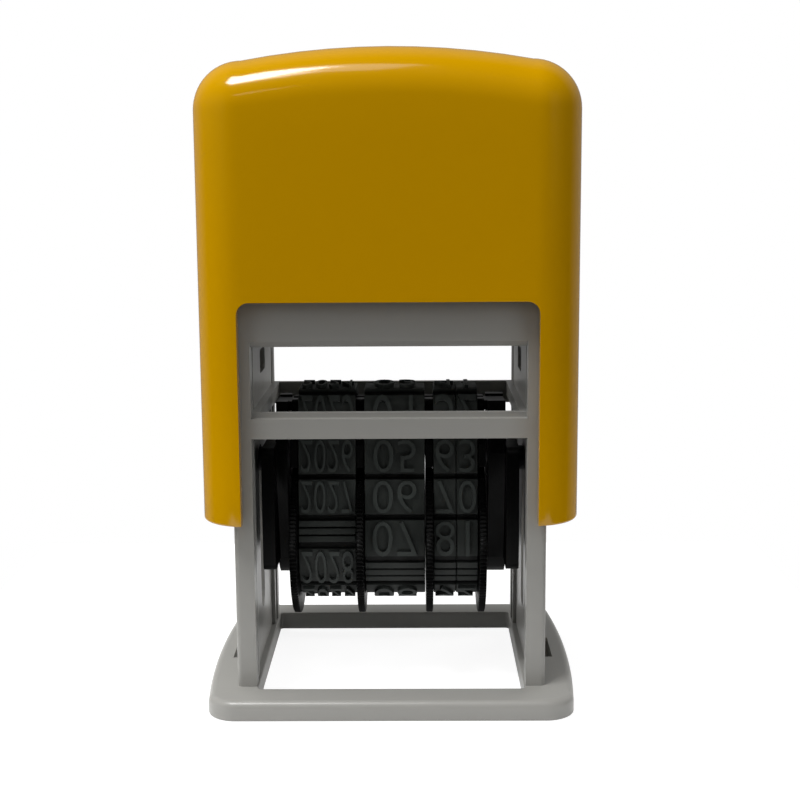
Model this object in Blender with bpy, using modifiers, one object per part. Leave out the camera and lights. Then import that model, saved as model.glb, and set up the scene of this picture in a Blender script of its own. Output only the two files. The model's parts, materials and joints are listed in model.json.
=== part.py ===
"""Self-inking mini date stamp, built piece by piece in metres with +Z up.

The stamp stands on its base, and the origin lies under the middle of the base.
X runs along the printed line, Y runs from the front to the back.
Pressing the cap carries the type carrier down the frame while it turns over, so
that the type, which rests face up under the ink pad bay, meets the paper face down.
Each of the four date bands runs round the platen and round its own thumbwheel.
"""

import math

import bmesh
import bpy
from mathutils import Vector

# Clearances and cuts
FIT_GAP = 0.0003
SLIDE_GAP = 0.00035
CUT_OVERRUN = 0.0010
JOIN_OVERLAP = 0.0002
WELD_DISTANCE = 0.00001
FLAT_ANGLE = math.radians(0.1)

# Type, stroke and turning motion
STROKE = 0.0150
TYPE_FACE_Z = 0.0317
PAPER_GAP = 0.00005
TYPE_REACH = (TYPE_FACE_Z - PAPER_GAP - STROKE) / 2
PIVOT_Z = TYPE_FACE_Z - TYPE_REACH
AXLE_DROP = 0.0087
AXLE_Z = PIVOT_Z - AXLE_DROP

# Date bands, widths from left to right
BAND_WIDTHS = (0.0058, 0.0061, 0.0021, 0.0020)
BAND_ROWS = 13
BELT_THICKNESS = 0.0006
BLOCK_HEIGHT = 0.00035
GLYPH_HEIGHT = 0.0004
GROOVE_WIDTH = 0.0005
BELT_ARC_STEP = math.radians(24)

# Thumbwheels: which side of its band each disc stands on, and the disc and drum sizes
DISC_ON_LEFT = (True, True, True, False)
DISC_THICKNESS = 0.00055
DISC_RADIUS = 0.0082
DISC_TOOTH_DEPTH = 0.0003
DISC_TEETH = 60
TYPE_RADIUS = 0.0065
DRUM_RADIUS = TYPE_RADIUS - GLYPH_HEIGHT - BLOCK_HEIGHT - BELT_THICKNESS - FIT_GAP
STACK_SHIFT = -0.0003

# Axle and pivot pins
AXLE_RADIUS = 0.0010
AXLE_HEAD_RADIUS = 0.0018
AXLE_HEAD_LENGTH = 0.0005
PIN_RADIUS = 0.0013
PIN_HEAD_RADIUS = 0.0020
PIN_HEAD_LENGTH = 0.0004

# Platen that the bands slide over
PLATEN_HALF_WIDTH = 0.0024
PLATEN_CORNER = 0.0009
PLATEN_THICKNESS = 0.0020
PLATEN_TAPER = 0.0004
PLATEN_GROOVE_WIDTH = 0.0008
PLATEN_GROOVE_DEPTH = 0.0003
STEM_HALF_WIDTH = 0.0008
TAB_HALF_WIDTH = 0.0016
TAB_THICKNESS = 0.0012
PLATEN_TOP = TYPE_FACE_Z - GLYPH_HEIGHT - BLOCK_HEIGHT - BELT_THICKNESS - FIT_GAP

# Band dividers above the discs
DIVIDER_THICKNESS = 0.0005
DIVIDER_HEIGHT = 0.0030
DIVIDER_HALF_WIDTH = 0.0043
DIVIDER_CORNER = 0.0006

# Cheeks of the carrier
CHEEK_THICKNESS = 0.0013
CHEEK_NECK_HALF_WIDTH = 0.0030
CHEEK_NECK_HEIGHT = 0.0026
CHEEK_SHOULDER_HALF_WIDTH = 0.0054
CHEEK_SHOULDER_RISE = 0.0015
CHEEK_SHOULDER_FALL = 0.0025
CHEEK_FOOT_RADIUS = 0.00375
CHEEK_FLANGE_HEIGHT = 0.0011
CHEEK_FLANGE_HALF_WIDTH = 0.0084
CHEEK_FLANGE_RISE = 0.0026
CHEEK_FLANGE_FALL = 0.0103
CHEEK_FLANGE_CORNER = 0.0010

# Frame
FRAME_WALL = 0.0015
SWING_GAP = 0.0010
FLANGE_GAP = 0.0005
LEDGE_GAP = 0.0009
FRAME_HALF_DEPTH = 0.01194
FRAME_EDGE = 0.0005
TRAY_DEPTH = 0.00465
BAR_DEPTH = 0.00172
BAR_LIP_DEPTH = 0.0008
BAR_LOW = 0.0277
BAR_HIGH = 0.0297
BAR_LIP_HIGH = 0.0302
LEDGE_LOW = 0.0287
BAY_HEADROOM = 0.00515
BAY_CHAMFER = 0.0006
FLOOR_THICKNESS = 0.0015
PANEL_THICKENING = 0.00045
PANEL_GROOVE_WIDTH = 0.0008
PANEL_GROOVE_INSET = 0.0016
PANEL_SLOT_LENGTH = 0.0048
PANEL_SLOT_HEIGHT = 0.0025
PANEL_SLOT_CORNER = 0.0006
PANEL_SLOT_Z = 0.0342
LEDGE_WINDOW_HALF_LENGTH = 0.0065
LEDGE_WINDOW_HIGH = 0.0317
LEDGE_TONGUE_BULGE = 0.0008
WALL_RIB_HEIGHT = 0.0004
WALL_RIB_WIDTH = 0.0008
WALL_RIB_INSET = 0.0020

# Base ring and the tenons that hold the frame in it
BASE_HALF_WIDTH = 0.01912
BASE_HALF_DEPTH = 0.01635
BASE_CORNER = 0.0030
BASE_SIDE_BOW = 0.0010
BASE_THICKNESS = 0.0020
BASE_EDGE = 0.0008
BASE_EDGE_SEGMENTS = 3
BASE_LIP = 0.00014
BASE_OPENING_HALF_DEPTH = 0.01255
BASE_OPENING_CORNER = 0.0004
TENON_HALF_LENGTH = 0.0031
TENON_THICKNESS = 0.0009
TENON_DEPTH = 0.0014
SNAP_HOLE_REACH_SHARE = 0.46

# Cap, and the yoke that hangs in it
CAP_WALL = 0.0014
CAP_TOP = 0.0659
CAP_CROWN = 0.0023
CAP_EDGE = 0.0048
CROWN_INSET_SHARE = 1.2
SKIRT_Z = 0.0191
CAP_WINDOW_HALF_WIDTH = 0.01474
CAP_WINDOW_TOP = 0.0414
CAP_WINDOW_CORNER = 0.00125
CAP_BOSS_RADIUS = 0.0016
CAP_BOSS_SPACING_HALF = 0.0080
CAP_RAIL_THICKNESS = 0.0010
CAP_RAIL_LOW = 0.0240
CAP_RAIL_DROP = 0.0036
YOKE_THICKNESS = 0.0012
YOKE_HALF_DEPTH = 0.0035
YOKE_HEADROOM = 0.0049
YOKE_CORNER = 0.0034
YOKE_RIB_HEIGHT = 0.0008
YOKE_RIB_HALF_LENGTH = 0.0120
HOOK_DROP = 0.0126
HOOK_HEIGHT = 0.0015
HOOK_HALF_WIDTH = 0.0015

# Return spring between the frame and the yoke
SPRING_RADIUS = 0.0040
WIRE_RADIUS = 0.0004
SPRING_TURNS = 6
END_TURN_PITCH = 0.0016
POINTS_PER_TURN = 10
SEAT_RADIUS = 0.0030
SEAT_HEIGHT = 0.0015

# Sizes that follow from the ones above, from the middle outwards
STACK_GAPS = 2 * len(BAND_WIDTHS) - 1
STACK_WIDTH = sum(BAND_WIDTHS) + len(BAND_WIDTHS) * DISC_THICKNESS + STACK_GAPS * FIT_GAP
CHEEK_INNER_X = STACK_WIDTH / 2 + abs(STACK_SHIFT) + SLIDE_GAP
CHEEK_OUTER_X = CHEEK_INNER_X + CHEEK_THICKNESS
FLANGE_OUTER_X = CHEEK_OUTER_X + CHEEK_FLANGE_HEIGHT
WALL_INNER_X = FLANGE_OUTER_X + SWING_GAP
FRAME_HALF_WIDTH = WALL_INNER_X + FRAME_WALL
WINDOW_HALF_WIDTH = FLANGE_OUTER_X + FLANGE_GAP
LEDGE_INNER_X = CHEEK_OUTER_X + LEDGE_GAP
PANEL_INNER_X = WALL_INNER_X - PANEL_THICKENING
CAVITY_HALF_DEPTH = FRAME_HALF_DEPTH - FRAME_WALL
BAR_INNER_HALF_DEPTH = FRAME_HALF_DEPTH - BAR_DEPTH
FRAME_FOOT_Z = BASE_THICKNESS + FIT_GAP
BAY_TOP = TYPE_FACE_Z + BAY_HEADROOM
FLOOR_TOP = BAY_TOP + FLOOR_THICKNESS
FRAME_TOP = FLOOR_TOP + TRAY_DEPTH
ARM_INNER_X = FRAME_HALF_WIDTH + SLIDE_GAP
ARM_OUTER_X = ARM_INNER_X + YOKE_THICKNESS
CAP_INNER_X = ARM_OUTER_X + SLIDE_GAP
CAP_HALF_WIDTH = CAP_INNER_X + CAP_WALL
CAP_INNER_Y = FRAME_HALF_DEPTH + FIT_GAP
CAP_HALF_DEPTH = CAP_INNER_Y + CAP_WALL
CAP_SIDE_TOP = CAP_TOP - CAP_CROWN
YOKE_TOP = CAP_TOP - YOKE_HEADROOM
BRIDGE_LOW = YOKE_TOP - YOKE_THICKNESS
HOOK_Z = YOKE_TOP - HOOK_DROP
CAP_RAIL_HIGH = YOKE_TOP - CAP_RAIL_DROP
SLOT_HALF_WIDTH = PIN_RADIUS + FIT_GAP
STEM_LOW = AXLE_Z + DISC_RADIUS + FIT_GAP
TENON_INNER_X = WALL_INNER_X + FIT_GAP
SNAP_HOLE_REACH = SNAP_HOLE_REACH_SHARE * (BASE_HALF_WIDTH - FRAME_HALF_WIDTH)

# Ring counts for turned and round pieces
ROUND_STEPS = 28
BOSS_STEPS = 12
SLOT_END_STEPS = 6
CORNER_STEPS = 4
CAP_EDGE_SEGMENTS = 5
CROWN_POINTS = 7
BOW_STEPS = 8

# Turn that lays an outline drawn in its own XY plane into the YZ plane, thickness along X
ALONG_X = (math.pi / 2, 0.0, math.pi / 2)
# Turn that lays an outline drawn in its own XY plane into the XZ plane, thickness along Y
ALONG_Y = (math.pi / 2, 0.0, 0.0)
ALONG_Z = (0.0, 0.0, 0.0)

PIECES = "date_stamp"
CUTTERS = "cutters"


def clear_scene():
    """Remove every object that the open file holds."""
    for item in list(bpy.data.objects):
        bpy.data.objects.remove(item, do_unlink=True)


def make_collection(name):
    """Return a new collection linked to the scene."""
    group = bpy.data.collections.new(name)
    bpy.context.scene.collection.children.link(group)
    return group


def make_material(name, colour, roughness, metallic=0.0):
    """Return a Principled material with one colour."""
    material = bpy.data.materials.new(name)
    material.use_nodes = True
    shader = material.node_tree.nodes["Principled BSDF"]
    shader.inputs["Base Color"].default_value = (*colour, 1.0)
    shader.inputs["Roughness"].default_value = roughness
    shader.inputs["Metallic"].default_value = metallic
    return material


def add_object(name, data, place=(0.0, 0.0, 0.0), turn=ALONG_Z):
    """Put new object data in the scene as a cutter until it is finished as a piece."""
    item = bpy.data.objects.new(name, data)
    item.location = place
    item.rotation_euler = turn
    bpy.data.collections[CUTTERS].objects.link(item)
    item.hide_render = True
    item.display_type = "WIRE"
    return item


def add_box(name, low, high):
    """Box between two corners, from a unit cube."""
    low = Vector(low)
    size = Vector(high) - low
    mesh = bpy.data.meshes.new(name)
    shape = bmesh.new()
    bmesh.ops.create_cube(shape, size=1.0)
    bmesh.ops.scale(shape, vec=size, verts=shape.verts)
    shape.to_mesh(mesh)
    shape.free()
    return add_object(name, mesh, low + size / 2)


def add_cylinder(name, radius, start, end, turn=ALONG_Z, steps=ROUND_STEPS):
    """Solid cylinder between two points on an axis that the turn gives."""
    start = Vector(start)
    end = Vector(end)
    mesh = bpy.data.meshes.new(name)
    shape = bmesh.new()
    bmesh.ops.create_cone(
        shape, cap_ends=True, segments=steps, radius1=radius, radius2=radius, depth=(end - start).length
    )
    shape.to_mesh(mesh)
    shape.free()
    return add_object(name, mesh, (start + end) / 2, turn)


def curve_to_mesh(item):
    """Turn a curve object into a welded mesh object with whole flat faces."""
    bpy.context.view_layer.update()
    evaluated = item.evaluated_get(bpy.context.evaluated_depsgraph_get())
    mesh = bpy.data.meshes.new_from_object(evaluated)
    shape = bmesh.new()
    shape.from_mesh(mesh)
    bmesh.ops.remove_doubles(shape, verts=shape.verts, dist=WELD_DISTANCE)
    bmesh.ops.dissolve_limit(shape, angle_limit=FLAT_ANGLE, verts=shape.verts, edges=shape.edges)
    shape.to_mesh(mesh)
    shape.free()
    name = item.name
    matrix = item.matrix_world.copy()
    bpy.data.objects.remove(item, do_unlink=True)
    solid = add_object(name, mesh)
    solid.matrix_world = matrix
    return solid


def add_plate(name, outlines, thickness, place=(0.0, 0.0, 0.0), turn=ALONG_Z):
    """Flat plate from closed outlines; an outline inside another is a hole."""
    curve = bpy.data.curves.new(name, "CURVE")
    curve.dimensions = "2D"
    curve.fill_mode = "BOTH"
    curve.extrude = thickness / 2
    for outline in outlines:
        spline = curve.splines.new("POLY")
        spline.points.add(len(outline) - 1)
        for point, corner in zip(spline.points, outline):
            point.co = (corner[0], corner[1], 0.0, 1.0)
        spline.use_cyclic_u = True
    return curve_to_mesh(add_object(name, curve, place, turn))


def add_turned(name, profile, place, steps=ROUND_STEPS):
    """Shape turned about an axis along X, from (radius, distance) points, far end first."""
    mesh = bpy.data.meshes.new(name)
    points = [(radius, 0.0, distance) for radius, distance in profile]
    mesh.from_pydata(points, [(index, index + 1) for index in range(len(points) - 1)], [])
    item = add_object(name, mesh, place, ALONG_X)
    screw = item.modifiers.new("turn", "SCREW")
    screw.axis = "Z"
    screw.steps = steps
    screw.render_steps = steps
    screw.use_merge_vertices = True
    screw.merge_threshold = WELD_DISTANCE
    return item


def combine(target, tool, operation):
    """Join a tool to a piece or cut the piece with it."""
    boolean = target.modifiers.new(tool.name, "BOOLEAN")
    boolean.operation = operation
    boolean.solver = "EXACT"
    boolean.object = tool


def cut(target, *tools):
    """Cut each tool out of the target."""
    for tool in tools:
        combine(target, tool, "DIFFERENCE")


def join(target, *tools):
    """Join each tool to the target."""
    for tool in tools:
        combine(target, tool, "UNION")


def add_bevel(item, width, segments):
    """Round the sharp edges of a piece."""
    bevel = item.modifiers.new("edges", "BEVEL")
    bevel.width = width
    bevel.segments = segments
    bevel.limit_method = "ANGLE"
    bevel.angle_limit = math.radians(50)
    bevel.use_clamp_overlap = True


def finish(item, material, parent=None):
    """Give a finished piece its material, its collection and its parent."""
    bpy.context.view_layer.update()
    matrix = item.matrix_world.copy()
    item.data.materials.clear()
    item.data.materials.append(material)
    bpy.data.collections[CUTTERS].objects.unlink(item)
    bpy.data.collections[PIECES].objects.link(item)
    item.hide_render = False
    item.display_type = "TEXTURED"
    item.data.shade_smooth()
    item.data.set_sharp_from_angle(angle=math.radians(35))
    if parent is not None:
        item.parent = parent
        item.matrix_world = matrix
    return item


def add_axis(name, place, parent=None):
    """Empty on a joint axis, which carries the pieces of a moving body."""
    empty = bpy.data.objects.new(name, None)
    bpy.data.collections[PIECES].objects.link(empty)
    empty.empty_display_size = DISC_RADIUS
    empty.location = place
    if parent is not None:
        empty.parent = parent
        empty.matrix_parent_inverse = parent.matrix_world.inverted()
    bpy.context.view_layer.update()
    return empty


def arc(centre, radius, start, end, steps):
    """Points on an arc from one angle to another, both ends included."""
    points = []
    for index in range(steps + 1):
        angle = start + (end - start) * index / steps
        points.append((centre[0] + radius * math.cos(angle), centre[1] + radius * math.sin(angle)))
    return points


def rounded_rectangle(half_x, half_y, radius, steps=CORNER_STEPS):
    """Outline of a rectangle about the origin with round corners."""
    outline = []
    for quarter, (side_x, side_y) in enumerate(((1, 1), (-1, 1), (-1, -1), (1, -1))):
        centre = (side_x * (half_x - radius), side_y * (half_y - radius))
        start = quarter * math.pi / 2
        outline += arc(centre, radius, start, start + math.pi / 2, steps)
    return outline


def bowed_rectangle(half_x, half_y, radius, bow):
    """Rounded rectangle whose left and right sides bow outwards in the middle."""
    corners = rounded_rectangle(half_x, half_y, radius, 2 * CORNER_STEPS)
    half_count = len(corners) // 2
    run = half_y - radius
    side = [run * (1 - 2 * index / BOW_STEPS) for index in range(1, BOW_STEPS)]
    outline = corners[:half_count] + [(-half_x, y) for y in side]
    outline += corners[half_count:] + [(half_x, -y) for y in side]
    return [(x - math.copysign(bow * (y / half_y) ** 2, x), y) for x, y in outline]


def prism(name, outline, low, high):
    """Upright solid with the given plan outline between two heights."""
    return add_plate(name, [outline], high - low, (0.0, 0.0, (low + high) / 2))


def block(name, half_x, half_y, low, high):
    """Box centred on the Z axis between two heights."""
    return add_box(name, (-half_x, -half_y, low), (half_x, half_y, high))


# Belt path: from the top middle towards the front, down, round the drum and up the back


class BeltPath:
    """Closed path of a date band, measured along the middle of the belt."""

    def __init__(self):
        """Find the straight runs that touch the drum and the platen's corners."""
        self.corner_y = PLATEN_HALF_WIDTH - PLATEN_CORNER
        self.corner_z = PLATEN_TOP - PLATEN_CORNER
        self.drum_radius = DRUM_RADIUS + FIT_GAP
        self.corner_radius = PLATEN_CORNER + FIT_GAP
        rise = self.corner_z - AXLE_Z
        reach = math.hypot(self.corner_y, rise)
        lean = math.asin((self.drum_radius - self.corner_radius) / reach)
        self.lean = lean - math.atan2(self.corner_y, rise)
        run = math.sqrt(reach**2 - (self.drum_radius - self.corner_radius) ** 2)
        corner_arc = (self.corner_radius + BELT_THICKNESS / 2) * (math.pi / 2 - self.lean)
        drum_arc = (self.drum_radius + BELT_THICKNESS / 2) * (math.pi + 2 * self.lean)
        self.lengths = (self.corner_y, corner_arc, run, drum_arc, run, corner_arc, self.corner_y)
        self.length = sum(self.lengths)

    def at(self, distance):
        """Return the foot on the belt's inner side and the outward direction there."""
        distance = distance % self.length
        section = 0
        while section < len(self.lengths) - 1 and distance > self.lengths[section]:
            distance -= self.lengths[section]
            section += 1
        share = distance / self.lengths[section]
        front_angle = math.pi - self.lean
        back_angle = 2 * math.pi + self.lean
        if section == 0:
            return self.foot(-self.corner_y * share, self.corner_z, self.corner_radius, math.pi / 2)
        if section == 1:
            angle = math.pi / 2 + (front_angle - math.pi / 2) * share
            return self.foot(-self.corner_y, self.corner_z, self.corner_radius, angle)
        if section == 2:
            return self.along_run(-self.corner_y, front_angle, share)
        if section == 3:
            angle = front_angle + (back_angle - front_angle) * share
            return self.foot(0.0, AXLE_Z, self.drum_radius, angle)
        if section == 4:
            return self.along_run(self.corner_y, back_angle, 1 - share)
        if section == 5:
            angle = self.lean + (math.pi / 2 - self.lean) * share
            return self.foot(self.corner_y, self.corner_z, self.corner_radius, angle)
        return self.foot(self.corner_y * (1 - share), self.corner_z, self.corner_radius, math.pi / 2)

    def foot(self, centre_y, centre_z, radius, angle):
        """Point at a radius from a centre, with the direction of that radius."""
        outward = Vector((math.cos(angle), math.sin(angle)))
        return Vector((centre_y, centre_z)) + radius * outward, outward

    def along_run(self, corner_y, angle, share):
        """Point on a straight run, counted from the platen down to the drum."""
        top, outward = self.foot(corner_y, self.corner_z, self.corner_radius, angle)
        bottom, outward = self.foot(0.0, AXLE_Z, self.drum_radius, angle)
        return top.lerp(bottom, share), outward

    def stations(self):
        """Distances of the section ends and of the steps on the arcs."""
        marks = [0.0]
        start = 0.0
        corner = math.pi / 2 - self.lean
        angles = (0.0, corner, 0.0, math.pi + 2 * self.lean, 0.0, corner, 0.0)
        for length, angle in zip(self.lengths, angles):
            steps = max(1, math.ceil(angle / BELT_ARC_STEP))
            marks += [start + length * (index + 1) / steps for index in range(steps)]
            start += length
        return marks[:-1]

    def point(self, distance, height):
        """Point on the path at a height over the belt's inner side."""
        foot, outward = self.at(distance)
        return tuple(foot + height * outward)


def band_outlines():
    """Outer outline of a band with its raised rows, and its inner outline."""
    path = BeltPath()
    pitch = path.length / BAND_ROWS
    face = BELT_THICKNESS + BLOCK_HEIGHT
    marks = path.stations()
    outer = []
    for row in range(BAND_ROWS):
        start = (row + 0.5) * pitch + GROOVE_WIDTH / 2
        end = (row + 1.5) * pitch - GROOVE_WIDTH / 2
        outer.append(path.point(start, BELT_THICKNESS))
        outer.append(path.point(start, face))
        laps = [mark + turn * path.length for turn in (0, 1) for mark in marks]
        outer += [path.point(mark, face) for mark in laps if start + JOIN_OVERLAP < mark < end - JOIN_OVERLAP]
        outer.append(path.point(end, face))
        outer.append(path.point(end, BELT_THICKNESS))
    inner = [path.point(mark, 0.0) for mark in marks]
    return outer, inner


def stack_places():
    """Left edge of each band, and the middle of each disc, from left to right."""
    edge = STACK_SHIFT - STACK_WIDTH / 2
    bands = []
    discs = []
    for width, on_left in zip(BAND_WIDTHS, DISC_ON_LEFT):
        if on_left:
            discs.append(edge + DISC_THICKNESS / 2)
            edge += DISC_THICKNESS + FIT_GAP
        bands.append(edge)
        edge += width + FIT_GAP
        if not on_left:
            discs.append(edge + DISC_THICKNESS / 2)
            edge += DISC_THICKNESS + FIT_GAP
    return bands, discs


# Frame and base


def frame_body():
    """Rounded upright block hollowed from both ends, with the bar, ledges and floor left in."""
    outline = rounded_rectangle(FRAME_HALF_WIDTH, FRAME_HALF_DEPTH, FRAME_EDGE)
    body = prism("frame", outline, FRAME_FOOT_Z, FRAME_TOP)
    low = FRAME_FOOT_Z - CUT_OVERRUN
    cut(body, block("lower_cavity", WALL_INNER_X, CAVITY_HALF_DEPTH, low, LEDGE_LOW))
    ledge_high = BAR_LIP_HIGH + JOIN_OVERLAP
    cut(body, block("ledge_opening", LEDGE_INNER_X, BAR_INNER_HALF_DEPTH, BAR_LOW, ledge_high))
    cut(body, block("bay_cavity", PANEL_INNER_X, CAVITY_HALF_DEPTH, BAR_LIP_HIGH, BAY_TOP))
    cut(body, block("top_tray", WALL_INNER_X, CAVITY_HALF_DEPTH, FLOOR_TOP, FRAME_TOP + CUT_OVERRUN))
    return body


def cut_frame_windows(body):
    """Open the front and back for the turning carrier below and the ink pad above."""
    through = FRAME_HALF_DEPTH + CUT_OVERRUN
    low = FRAME_FOOT_Z - CUT_OVERRUN
    cut(body, block("lower_window", WINDOW_HALF_WIDTH, through, low, BAR_LOW))
    cut(body, block("bay_window", WINDOW_HALF_WIDTH, through, BAR_LIP_HIGH, BAY_TOP))
    step_inner = BAR_INNER_HALF_DEPTH + BAR_LIP_DEPTH
    for side in (-1, 1):
        low_y, high_y = sorted((side * step_inner, side * through))
        cut(
            body,
            add_box(
                "bar_step",
                (-WINDOW_HALF_WIDTH, low_y, BAR_HIGH),
                (WINDOW_HALF_WIDTH, high_y, BAR_LIP_HIGH + CUT_OVERRUN),
            ),
        )
        edge = FRAME_HALF_DEPTH
        chamfer = [
            (side * (edge + CUT_OVERRUN), BAY_TOP - CUT_OVERRUN),
            (side * (edge + CUT_OVERRUN), BAY_TOP + BAY_CHAMFER + CUT_OVERRUN),
            (side * (edge - BAY_CHAMFER - CUT_OVERRUN), BAY_TOP - CUT_OVERRUN),
        ]
        cut(body, add_plate("bay_chamfer", [chamfer], 2 * WINDOW_HALF_WIDTH, turn=ALONG_X))


def slot_outline(half_width, low, high, steps=SLOT_END_STEPS):
    """Upright slot with round ends in the YZ plane; the ends' outermost points are given."""
    bottom = arc((0.0, low + half_width), half_width, math.pi, 2 * math.pi, steps)
    top = arc((0.0, high - half_width), half_width, 0.0, math.pi, steps)
    return bottom + top


def cut_frame_sides(body):
    """Pivot slots, the slots beside the ink pad bay and the windows over the ledges."""
    slot_low = PIVOT_Z - STROKE - SLOT_HALF_WIDTH
    slot_high = PIVOT_Z + SLOT_HALF_WIDTH
    reach = FRAME_WALL + PANEL_THICKENING + 2 * CUT_OVERRUN
    middle = FRAME_HALF_WIDTH - (FRAME_WALL + PANEL_THICKENING) / 2
    panel_slot = rounded_rectangle(PANEL_SLOT_LENGTH / 2, PANEL_SLOT_HEIGHT / 2, PANEL_SLOT_CORNER)
    for side in (-1, 1):
        place = (side * middle, 0.0, 0.0)
        slot = slot_outline(SLOT_HALF_WIDTH, slot_low, slot_high)
        cut(body, add_plate("pivot_slot", [slot], reach, place, ALONG_X))
        panel_place = (side * middle, 0.0, PANEL_SLOT_Z)
        cut(body, add_plate("panel_slot", [panel_slot], reach, panel_place, ALONG_X))
        cut(body, ledge_window(side))


def ledge_window(side):
    """Window through the side wall over the ledge, which leaves a round-edged tongue."""
    half = LEDGE_WINDOW_HALF_LENGTH
    radius = (half**2 + LEDGE_TONGUE_BULGE**2) / (2 * LEDGE_TONGUE_BULGE)
    spread = math.asin(half / radius)
    centre = (WALL_INNER_X + LEDGE_TONGUE_BULGE - radius, 0.0)
    outline = arc(centre, radius, -spread, spread, CORNER_STEPS)
    outer = FRAME_HALF_WIDTH + CUT_OVERRUN
    outline += [(outer, half), (outer, -half)]
    outline = [(side * x, y) for x, y in outline]
    return prism("ledge_window", outline, LEDGE_LOW - JOIN_OVERLAP, LEDGE_WINDOW_HIGH)


def join_frame_details(body):
    """Spring seat, wall ribs, panel grooves and the tenons under the columns."""
    seat_low = FLOOR_TOP - JOIN_OVERLAP
    seat = add_cylinder("seat", SEAT_RADIUS, (0.0, 0.0, seat_low), (0.0, 0.0, FLOOR_TOP + SEAT_HEIGHT))
    join(body, seat)
    rib_y = CAVITY_HALF_DEPTH - WALL_RIB_INSET
    groove_y = CAVITY_HALF_DEPTH - PANEL_GROOVE_INSET
    for side_x in (-1, 1):
        for side_y in (-1, 1):
            rib_face = WALL_INNER_X - WALL_RIB_HEIGHT
            x_values = sorted((side_x * rib_face, side_x * (WALL_INNER_X + JOIN_OVERLAP)))
            y_values = sorted((side_y * rib_y, side_y * (rib_y + WALL_RIB_WIDTH)))
            rib_high = LEDGE_LOW + JOIN_OVERLAP
            rib = add_box(
                "wall_rib", (x_values[0], y_values[0], FRAME_FOOT_Z), (x_values[1], y_values[1], rib_high)
            )
            join(body, rib)
            x_values = sorted((side_x * (PANEL_INNER_X - CUT_OVERRUN), side_x * WALL_INNER_X))
            y_values = sorted((side_y * groove_y, side_y * (groove_y + PANEL_GROOVE_WIDTH)))
            groove = add_box(
                "panel_groove", (x_values[0], y_values[0], BAR_LIP_HIGH), (x_values[1], y_values[1], BAY_TOP)
            )
            cut(body, groove)
        x_values = sorted((side_x * TENON_INNER_X, side_x * (TENON_INNER_X + TENON_THICKNESS)))
        foot = FRAME_FOOT_Z + JOIN_OVERLAP
        tenon_low = BASE_THICKNESS - TENON_DEPTH
        tenon = add_box(
            "tenon", (x_values[0], -TENON_HALF_LENGTH, tenon_low), (x_values[1], TENON_HALF_LENGTH, foot)
        )
        join(body, tenon)


def make_frame(material):
    """Moulded frame: two channel columns, front and back bars, ledges and the spring floor."""
    body = frame_body()
    cut_frame_windows(body)
    cut_frame_sides(body)
    join_frame_details(body)
    return finish(body, material)


def make_base(material):
    """Base ring with bowed sides, a rounded top edge, an opening for the print and two snap holes."""
    outline = bowed_rectangle(BASE_HALF_WIDTH, BASE_HALF_DEPTH, BASE_CORNER, BASE_SIDE_BOW)
    spare = BASE_EDGE + CUT_OVERRUN
    body = prism("base_ring", outline, -spare, BASE_THICKNESS)
    add_bevel(body, BASE_EDGE, BASE_EDGE_SEGMENTS)
    cut(body, block("base_trim", BASE_HALF_WIDTH + spare, BASE_HALF_DEPTH + spare, -2 * spare, 0.0))
    opening_half_width = WINDOW_HALF_WIDTH - BASE_LIP
    opening = rounded_rectangle(opening_half_width, BASE_OPENING_HALF_DEPTH, BASE_OPENING_CORNER)
    cut(body, prism("base_opening", opening, -2 * spare, BASE_THICKNESS + CUT_OVERRUN))
    hole_half_length = TENON_HALF_LENGTH + FIT_GAP
    hole_inner_x = TENON_INNER_X - FIT_GAP
    hole_outer_x = FRAME_HALF_WIDTH + SNAP_HOLE_REACH
    for side in (-1, 1):
        x_values = sorted((side * hole_inner_x, side * hole_outer_x))
        hole = add_box(
            "snap_hole",
            (x_values[0], -hole_half_length, -2 * spare),
            (x_values[1], hole_half_length, BASE_THICKNESS + CUT_OVERRUN),
        )
        cut(body, hole)
    return finish(body, material)


# Cap, yoke and spring


def soft_block(name, half_width, half_depth, low, side_top, crown, edge):
    """Block with an arched top and evenly rounded edges, cut off flat at the foot."""
    radius = (half_width**2 + crown**2) / (2 * crown)
    inner = half_width - CROWN_INSET_SHARE * edge
    outline = [(-half_width, low - 2 * edge), (half_width, low - 2 * edge), (half_width, side_top)]
    for index in range(CROWN_POINTS):
        x = inner - 2 * inner * index / (CROWN_POINTS - 1)
        outline.append((x, side_top + crown - radius + math.sqrt(radius**2 - x**2)))
    outline.append((-half_width, side_top))
    solid = add_plate(name, [outline], 2 * half_depth, turn=ALONG_Y)
    add_bevel(solid, edge, CAP_EDGE_SEGMENTS)
    trim = edge + CUT_OVERRUN
    cut(solid, block("foot_trim", half_width + trim, half_depth + trim, low - 2 * edge - trim, low))
    return solid


def cap_window(side_depth):
    """Cutter for the front and back cut-outs of the cap, round at the top corners."""
    half = CAP_WINDOW_HALF_WIDTH
    top = CAP_WINDOW_TOP
    corner = CAP_WINDOW_CORNER
    bottom = SKIRT_Z - CAP_EDGE
    outline = [(-half, bottom), (half, bottom)]
    outline += arc((half - corner, top - corner), corner, 0.0, math.pi / 2, CORNER_STEPS)
    outline += arc((corner - half, top - corner), corner, math.pi / 2, math.pi, CORNER_STEPS)
    return add_plate("cap_window", [outline], 2 * side_depth, turn=ALONG_Y)


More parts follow.
